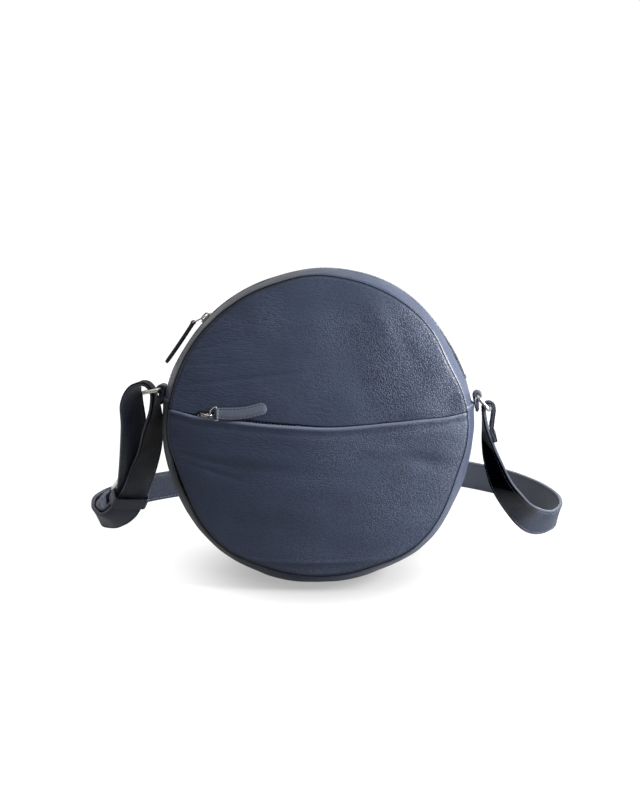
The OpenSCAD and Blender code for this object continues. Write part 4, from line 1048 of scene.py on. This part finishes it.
# Ring tabs
# Loops of navy leather that are folded round a ring's bar and sewn down on the end of the gusset.
ring_axis, loop_middle, loop_leather = 128.58, 2.7, 1.05
for name, node, at, side in (("left_loop", "left_ring_tab", 167.7, 1), ("right_loop", "right_ring_tab", 11.5, -1)):
    path = [(-loop_middle, 9.4), (-loop_middle, 6.0), (-loop_middle, 3.0), (-loop_middle, 0.0)]
    path += [(loop_middle * math.cos(t), loop_middle * math.sin(t)) for t in np.radians(np.linspace(180, 445, 28)[1:])]
    path += [(-0.3, 3.9), (-0.75, 5.6), (-1.1, 7.6), (-1.6, 9.8), (-2.6, 12.0)]
    path = np.array(path) * (1, side)
    turn = math.radians(at)
    radial = ring_axis + path[:, 0]
    u = radial * math.cos(turn) - path[:, 1] * math.sin(turn)
    v = radial * math.sin(turn) + path[:, 1] * math.cos(turn)
    mid = bag_to_world(u, v, 0 * u)
    along = unit(np.gradient(mid, axis=0))
    across = np.tile(np.array([0, -math.cos(lean), math.sin(lean)]), (len(mid), 1))
    loop = sewn_strip(name, mid, across, np.cross(across, along), 0.011, loop_leather / 1000, groove_at=1.8,
        groove_depth=0.12, marks={"grain": 0.6, "flex": 0.6})
    loop.data.materials.append(bag_leather)
    loop.data.materials.append(edge_paint)
    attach(loop, "bag")
    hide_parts(node)
    outer = slice(len(mid) - 5, len(mid) - 1)
    lay = unit(mid[-3] - ring_to_world(ring_axis - 20, at, 0.0))
    raised = lay * (loop_leather + 0.02) / 1000
    runs = [(mid[outer] + across[outer] * (k * 0.0091) + raised, np.tile(lay, (4, 1))) for k in (-1, 1)]
    steps = np.linspace(-0.0085, 0.0085, 8)[:, None]
    runs.append((mid[-3] + across[-3] * steps + raised, np.tile(lay, (8, 1))))
    stitches(name + "_stitches", runs, "bag", pitch=0.0029, length=0.002)

# Rings and buckle
# Plated wire rings with rounded corners, and the strap's wire buckle with its tongue.
plate(("left_ring", "right_ring", "buckle_frame", "buckle_tongue"))

# Shoulder strap
# A long flat strap of two layers of navy leather, sewn together along both edges, with painted edges. One end
# is folded round the right ring and sewn. The rest runs behind the bag, through the buckle, up over the left
# ring and back down to the buckle's bar.
strap_route = [
    [[140.4, 4.6, 112], [0, -1, 0.1]], [[138, 3.8, 119.5], [0, -1, 0.15]], [[138.5, 3, 128], [0, -1, 0.17]],
    [[139.1, 2.6, 135.8], [0, -1, 0.17]], [[138.1, 3.1, 138.7], [0, -1, 0.17]], [[135.2, 3.3, 139.9], [0, -1, 0.17]],
    [[132.3, 3.1, 138.7], [0, -1, 0.17]], [[131.3, 2.6, 135.8], [0, -1, 0.17]], [[132.2, 2.8, 128], [0.03, -1, 0.15]],
    [[133.6, 3.6, 119], [0.15, -0.98, 0]],
    [[136, 6, 107], [0.38, -0.9, -0.2]], [[140, 14, 90], [0.64, -0.73, -0.25]], [[145, 25, 73], [0.79, -0.59, -0.18]],
    [[151.8, 40, 56], [0.9, -0.43, 0.02]], [[162.7, 61, 36], [0.91, -0.31, 0.27]], [[176, 82, 19], [0.68, -0.01, 0.73]],
    [[188, 98, 12.7], [0.48, -0.13, 0.87]], [[197, 117, 12.8], [0.25, -0.3, 1]],
    [[196, 144, 12.8], [0.1, -0.05, 1]], [[180, 182, 12.7], [0, 0, 1]], [[148, 219, 12.7], [0, 0, 1]],
    [[90, 252, 12.7], [0, 0, 1]], [[10, 264, 12.7], [0, 0, 1]], [[-70, 243, 12.7], [0, 0, 1]],
    [[-130, 199, 13], [0, 0, 1]], [[-160, 170, 15], [0, 0, 1]],
    [[-178.5, 143, 16.4], [0, 0, 1]], [[-185.5, 129.5, 16.4], [0, 0, 1]], [[-192.3, 116.5, 16.4], [0, 0, 1]],
    [[-196, 104.6, 14.5], [-0.25, -0.15, 1]], [[-193.5, 94, 11.7], [-0.35, -0.5, 0.9]],
    [[-182.5, 83, 12], [-0.6, -0.6, 0.65]],
    [[-171.3, 79, 20], [-0.96, -0.4, 0.27]], [[-164.4, 76, 31], [-0.97, -0.38, 0.12]],
    [[-157.2, 68, 45], [-0.9, -0.55, 0.05]],
    [[-148.3, 50, 68], [-0.88, -0.6, 0]], [[-140, 31, 92], [-0.6, -0.8, 0]], [[-135.2, 13, 116], [-0.36, -0.92, 0.1]],
    [[-132.5, 3.6, 136], [-0.05, -1, 0.17]],
    [[-132.8, 4.4, 145], [0, -1, 0.17]],
    [[-137.2, 5.5, 150.9], [0, -1, 0.17]],
    [[-143.6, 5.6, 151.6], [-0.05, -1, 0.17]],
    [[-148.9, 5.6, 147], [-0.28, -0.96, 0.15]],
    [[-151.2, 7.5, 136], [-0.55, -0.84, 0.1]],
    [[-151.2, 16, 116], [-0.62, -0.78, 0.05]], [[-154.3, 34, 90], [-0.72, -0.7, 0]],
    [[-158, 54, 66], [-0.86, -0.55, 0]],
    [[-162.6, 73, 45], [-0.95, -0.48, 0.05]], [[-167, 81, 32], [-0.97, -0.38, 0.12]],
    [[-172.8, 84.2, 22.5], [-0.96, -0.42, 0.28]],
    [[-179.9, 86, 16.6], [-0.74, -0.58, 0.52]], [[-186.2, 91.2, 14.6], [-0.48, -0.55, 0.75]],
    [[-190, 97.5, 14.2], [-0.3, -0.4, 0.9]], [[-190.4, 104.3, 15.4], [-0.12, -0.1, 1]],
    [[-189.8, 111.6, 16.3], [0, 0, 1]], [[-188, 116.9, 16.4], [0, 0, 1]], [[-185.7, 118.8, 16.4], [0, 0, 1]],
    [[-182.8, 118.6, 16.4], [0, 0, 1]], [[-181.1, 116.3, 16.4], [0, 0, 1]], [[-181.4, 113.4, 16.4], [0, 0, 1]],
    [[-183.6, 109.2, 16.4], [0, 0, 1]], [[-184.6, 105.6, 16.3], [0, 0, 1]]]
strap_half, strap_thick, strap_inset, steps_between = 12.5, 1.6, 2.3, 14
route = np.array(strap_route, float)
ends = np.concatenate([2 * route[:1] - route[1:2], route, 2 * route[-1:] - route[-2:-1]])
smooth_route = []
for i in range(1, len(ends) - 2):
    p0, p1, p2, p3 = ends[i - 1:i + 3]
    slope, bend, rest = p2 - p0, 2 * p0 - 5 * p1 + 4 * p2 - p3, 3 * p1 - p0 - 3 * p2 + p3
    for t in np.arange(steps_between) / steps_between:
        smooth_route.append((2 * p1 + slope * t + bend * t * t + rest * t ** 3) / 2)
smooth_route = np.array(smooth_route + [route[-1]])
strap_mid = smooth_route[:, 0] / 1000
strap_along = unit(np.gradient(strap_mid, axis=0))
strap_across = smooth_route[:, 1]
strap_across = unit(strap_across - (strap_across * strap_along).sum(1)[:, None] * strap_along)
strap_face = np.cross(strap_across, strap_along)
strap_leather = leather_material("strap leather", (0.029, 0.037, 0.064), (0.02, 0.026, 0.047), navy_pale,
    roughness=0.5, cell=0.0011, grain_depth=0.0001, line_depth=0.00012, line_stretch=(4.0, 1.0, 1.0), by_uv=True)
strap_x, strap_y, strap_z = strap_mid.T
high, behind = ramp(strap_z, 0.025, 0.07), ramp(strap_y, 0.14, 0.03)
# The section of a sewn strip has 17 points on its upper layer and 15 on its under one
upper_layer, under_layer = np.repeat([1, 0], [17, 15]), np.repeat([0, 1], [17, 15])
# Painted light: the right part of that band, the right turn's upper layer and the low runs at the left
# Painted shade on the strap: the right leg, the under layer higher up and at the right turn, and the left part of the
# band behind the bag.
low = ramp(-strap_z, -0.07, 0.045) * ramp(-strap_x, 0.14, 0.02) * (1 - behind)
right_leg = ramp(strap_x, 0.134, 0.004) * ramp(-strap_y, -0.08, 0.02) * ramp(-strap_z, -0.11, 0.015)
right_turn = ramp(strap_x, 0.16, 0.015)
strap_painted_shade = (0.37 * right_leg[:, None] + np.outer(0.93 * high ** 0.6 + 0.3 * right_turn, under_layer)
    + np.outer(0.5 * behind * ramp(-strap_x, 0.03, 0.06), upper_layer))
strap_painted_light = (np.outer(0.95 * behind * ramp(strap_x, 0.05, 0.05) + 0.7 * right_turn * (1 - behind), upper_layer)
    + 0.85 * low[:, None])
strap = sewn_strip("strap", strap_mid, strap_across, strap_face, strap_half / 1000, strap_thick / 1000,
    groove_at=strap_inset, groove_depth=0.09, marks={"grain": 0.7, "flex": 0.6, "painted_shade": strap_painted_shade, "painted_light": strap_painted_light})
strap.data.materials.append(strap_leather)
strap.data.materials.append(edge_paint)
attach(strap, "bag")
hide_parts("shoulder_strap")
runs = []
for front in (1, -1):
    raised = strap_mid + strap_face * (front * (strap_thick - 0.06) / 1000)
    for k in (-1, 1):
        line = raised + strap_across * (k * (strap_half - strap_inset) / 1000)
        runs.append((line[6:-6], strap_face[6:-6] * front))
for row in (2 * steps_between, len(strap_mid) - 2 * steps_between):
    for front in (1, -1):
        raised = strap_mid[row] + strap_face[row] * (front * (strap_thick - 0.06) / 1000)
        line = raised + strap_across[row] * np.linspace(-0.0095, 0.0095, 8)[:, None]
        runs.append((line, np.tile(strap_face[row] * front, (8, 1))))
stitches("strap_stitches", runs, "bag")

# Keeper
# A short loop of the same leather that slides on both layers of the strap below the left ring. It is closed
# with a row of stitches at its side.
keeper_top, keeper_low = np.array([-162.74, 74.25, 38.49]), np.array([-167.14, 79.85, 28.29])
keeper_axis, keeper_middle = unit(keeper_low - keeper_top), (keeper_top + keeper_low) / 2
keeper_across = np.array([-0.94, -0.45, 0.13])
keeper_across = unit(keeper_across - keeper_across.dot(keeper_axis) * keeper_axis)
keeper_face = np.cross(keeper_across, keeper_axis)
keeper_inside, keeper_thick, corner = (13.9, 5.7), 0.75, 2.6
half_a, half_b = (inside + keeper_thick for inside in keeper_inside)
turns = []
for right, up, start in ((1, 1, 0), (-1, 1, 90), (-1, -1, 180), (1, -1, 270)):
    for t in np.radians(np.linspace(start, start + 90, 9)):
        turns.append((right * (half_a - corner) + corner * math.cos(t), up * (half_b - corner) + corner * math.sin(t)))
turns = np.array(turns)
dense = []
for a, b in zip(turns, np.roll(turns, -1, 0)):
    pieces = max(1, int(np.linalg.norm(b - a) / 1.2))
    dense += [a + (b - a) * s / pieces for s in range(pieces)]
dense = np.array(dense)
mid = (keeper_middle + dense[:, :1] * keeper_across + dense[:, 1:] * keeper_face) / 1000
along = unit(np.roll(mid, -1, 0) - np.roll(mid, 1, 0))
across = np.tile(keeper_axis, (len(mid), 1))
# The keeper gets a touch of painted shade and is painted paler all over as light, like the strap runs beside it
keeper = sewn_strip("keeper", mid, across, np.cross(across, along), 0.006, 0.0008, groove_at=1.6, groove_depth=0.12,
    closed=True, marks={"grain": 0.5, "flex": 0.4, "painted_shade": 0.05, "painted_light": 0.6})
keeper.data.materials.append(strap_leather)
keeper.data.materials.append(edge_paint)
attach(keeper, "bag")
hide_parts("strap_keeper")
seam_start = keeper_middle + keeper_across * (-half_a + 2.4) + keeper_face * (half_b + keeper_thick)
seam = (seam_start + keeper_axis * np.linspace(-4.8, 4.8, 8)[:, None]) / 1000
stitches("keeper_stitches", [(seam, np.tile(keeper_face, (8, 1)))], "bag", pitch=0.0026, length=0.0018)

# Zip topstitching
# Rows of thread that hold the folded leather edges to the tapes of the rim zip.
runs = []
angles = np.linspace(zip_start + 1.5, zip_end - 1.5, 400)
outwards = (ring_to_world(1.0, angles, 0.0) - bag_to_world(0.0, 0.0, 0.0)) * 1000
for side in (1, -1):
    depths = side * (strip_edge + strip_lap(side, angles) + stitch_line)
    runs.append((ring_to_world(rim_surface(angles, depths) - 0.2, angles, depths), outwards))
stitches("zip_stitches", runs, "bag", pitch=0.0034, length=0.0024)

# Floor and light
# A pale floor that keeps soft shadows, with a painted shadow round the bag where its glow fades, a soft lamp that
# grazes the front from the right, weaker ones in front at the right and above, and a pale room that is dim
# behind the camera.
def shown_by(tree, place, dim, clear):
    """Share of the white room that a ray sees; mirrored, the room is dim where place's Y is low, in front."""
    ray = add(tree, "ShaderNodeLightPath").outputs
    side = add(tree, "ShaderNodeSeparateXYZ", None, Vector=place).outputs["Y"]
    mirrored = maths(tree, "MULTIPLY", ray["Is Glossy Ray"], remap(tree, side, dim, clear, 0.15, 1.0))
    return maths(tree, "MAXIMUM", mirrored, maths(tree, "MAXIMUM", ray["Is Camera Ray"], ray["Is Transmission Ray"]))


floor_mesh = bpy.data.meshes.new("floor")
floor_mesh.from_pydata([(-6, -6, 0), (6, -6, 0), (6, 6, 0), (-6, 6, 0)], [], [(0, 1, 2, 3)])
floor = bpy.data.objects.new("floor", floor_mesh)
bpy.context.scene.collection.objects.link(floor)
floor_material, tree, principled, place = new_material("pale floor")
feed(tree, principled, Base_Color=(0.15, 0.15, 0.152, 1), Roughness=0.9, Specular_IOR_Level=0.1)
away = add(tree, "ShaderNodeVectorMath", {"operation": "LENGTH"}, i0=place.outputs["Object"])
# Painted shadow: the floor's glow is weaker close to the bag, under and round it
painted_shadow_fade = remap(tree, away.outputs["Value"], 0.04, 0.135, 0.4, 1.0, smooth=True)
strength = maths(tree, "MULTIPLY", shown_by(tree, place.outputs["Object"], -0.3, 0.5), painted_shadow_fade)
glow = add(tree, "ShaderNodeEmission", None, Color=(1, 1, 1, 1), Strength=strength)
both = add(tree, "ShaderNodeAddShader", None, i0=principled.outputs[0], i1=glow.outputs[0])
tree.links.new(both.outputs[0], tree.nodes["Material Output"].inputs["Surface"])
floor_mesh.materials.append(floor_material)

world = bpy.data.worlds.new("room")
bpy.context.scene.world = world
world.use_nodes = True
tree = world.node_tree
background = tree.nodes["Background"]
place = add(tree, "ShaderNodeTexCoord")
shown = shown_by(tree, place.outputs["Generated"], -0.1, 0.5)
tree.links.new(remap(tree, shown, 0.0, 1.0, 0.12, 1.0), background.inputs["Strength"])
background.inputs["Color"].default_value = (1, 1, 1, 1)


def lamp(name, place, size, watts):
    """Large soft lamp aimed at the middle of the bag."""
    data = bpy.data.lights.new(name, "AREA")
    data.shape, data.size, data.energy = "DISK", size, watts
    made = bpy.data.objects.new(name, data)
    bpy.context.scene.collection.objects.link(made)
    made.location = place
    made.rotation_euler = (Vector((0, 0, 0.12)) - Vector(place)).to_track_quat("-Z", "Y").to_euler()


lamp("key", (0.8, -0.135, 0.49), 0.34, 26)
lamp("side", (1.0, -1.0, 0.5), 0.5, 10)
lamp("top", (-0.1, -0.7, 1.9), 1.4, 9)
bpy.context.scene.view_settings.view_transform = "Standard"
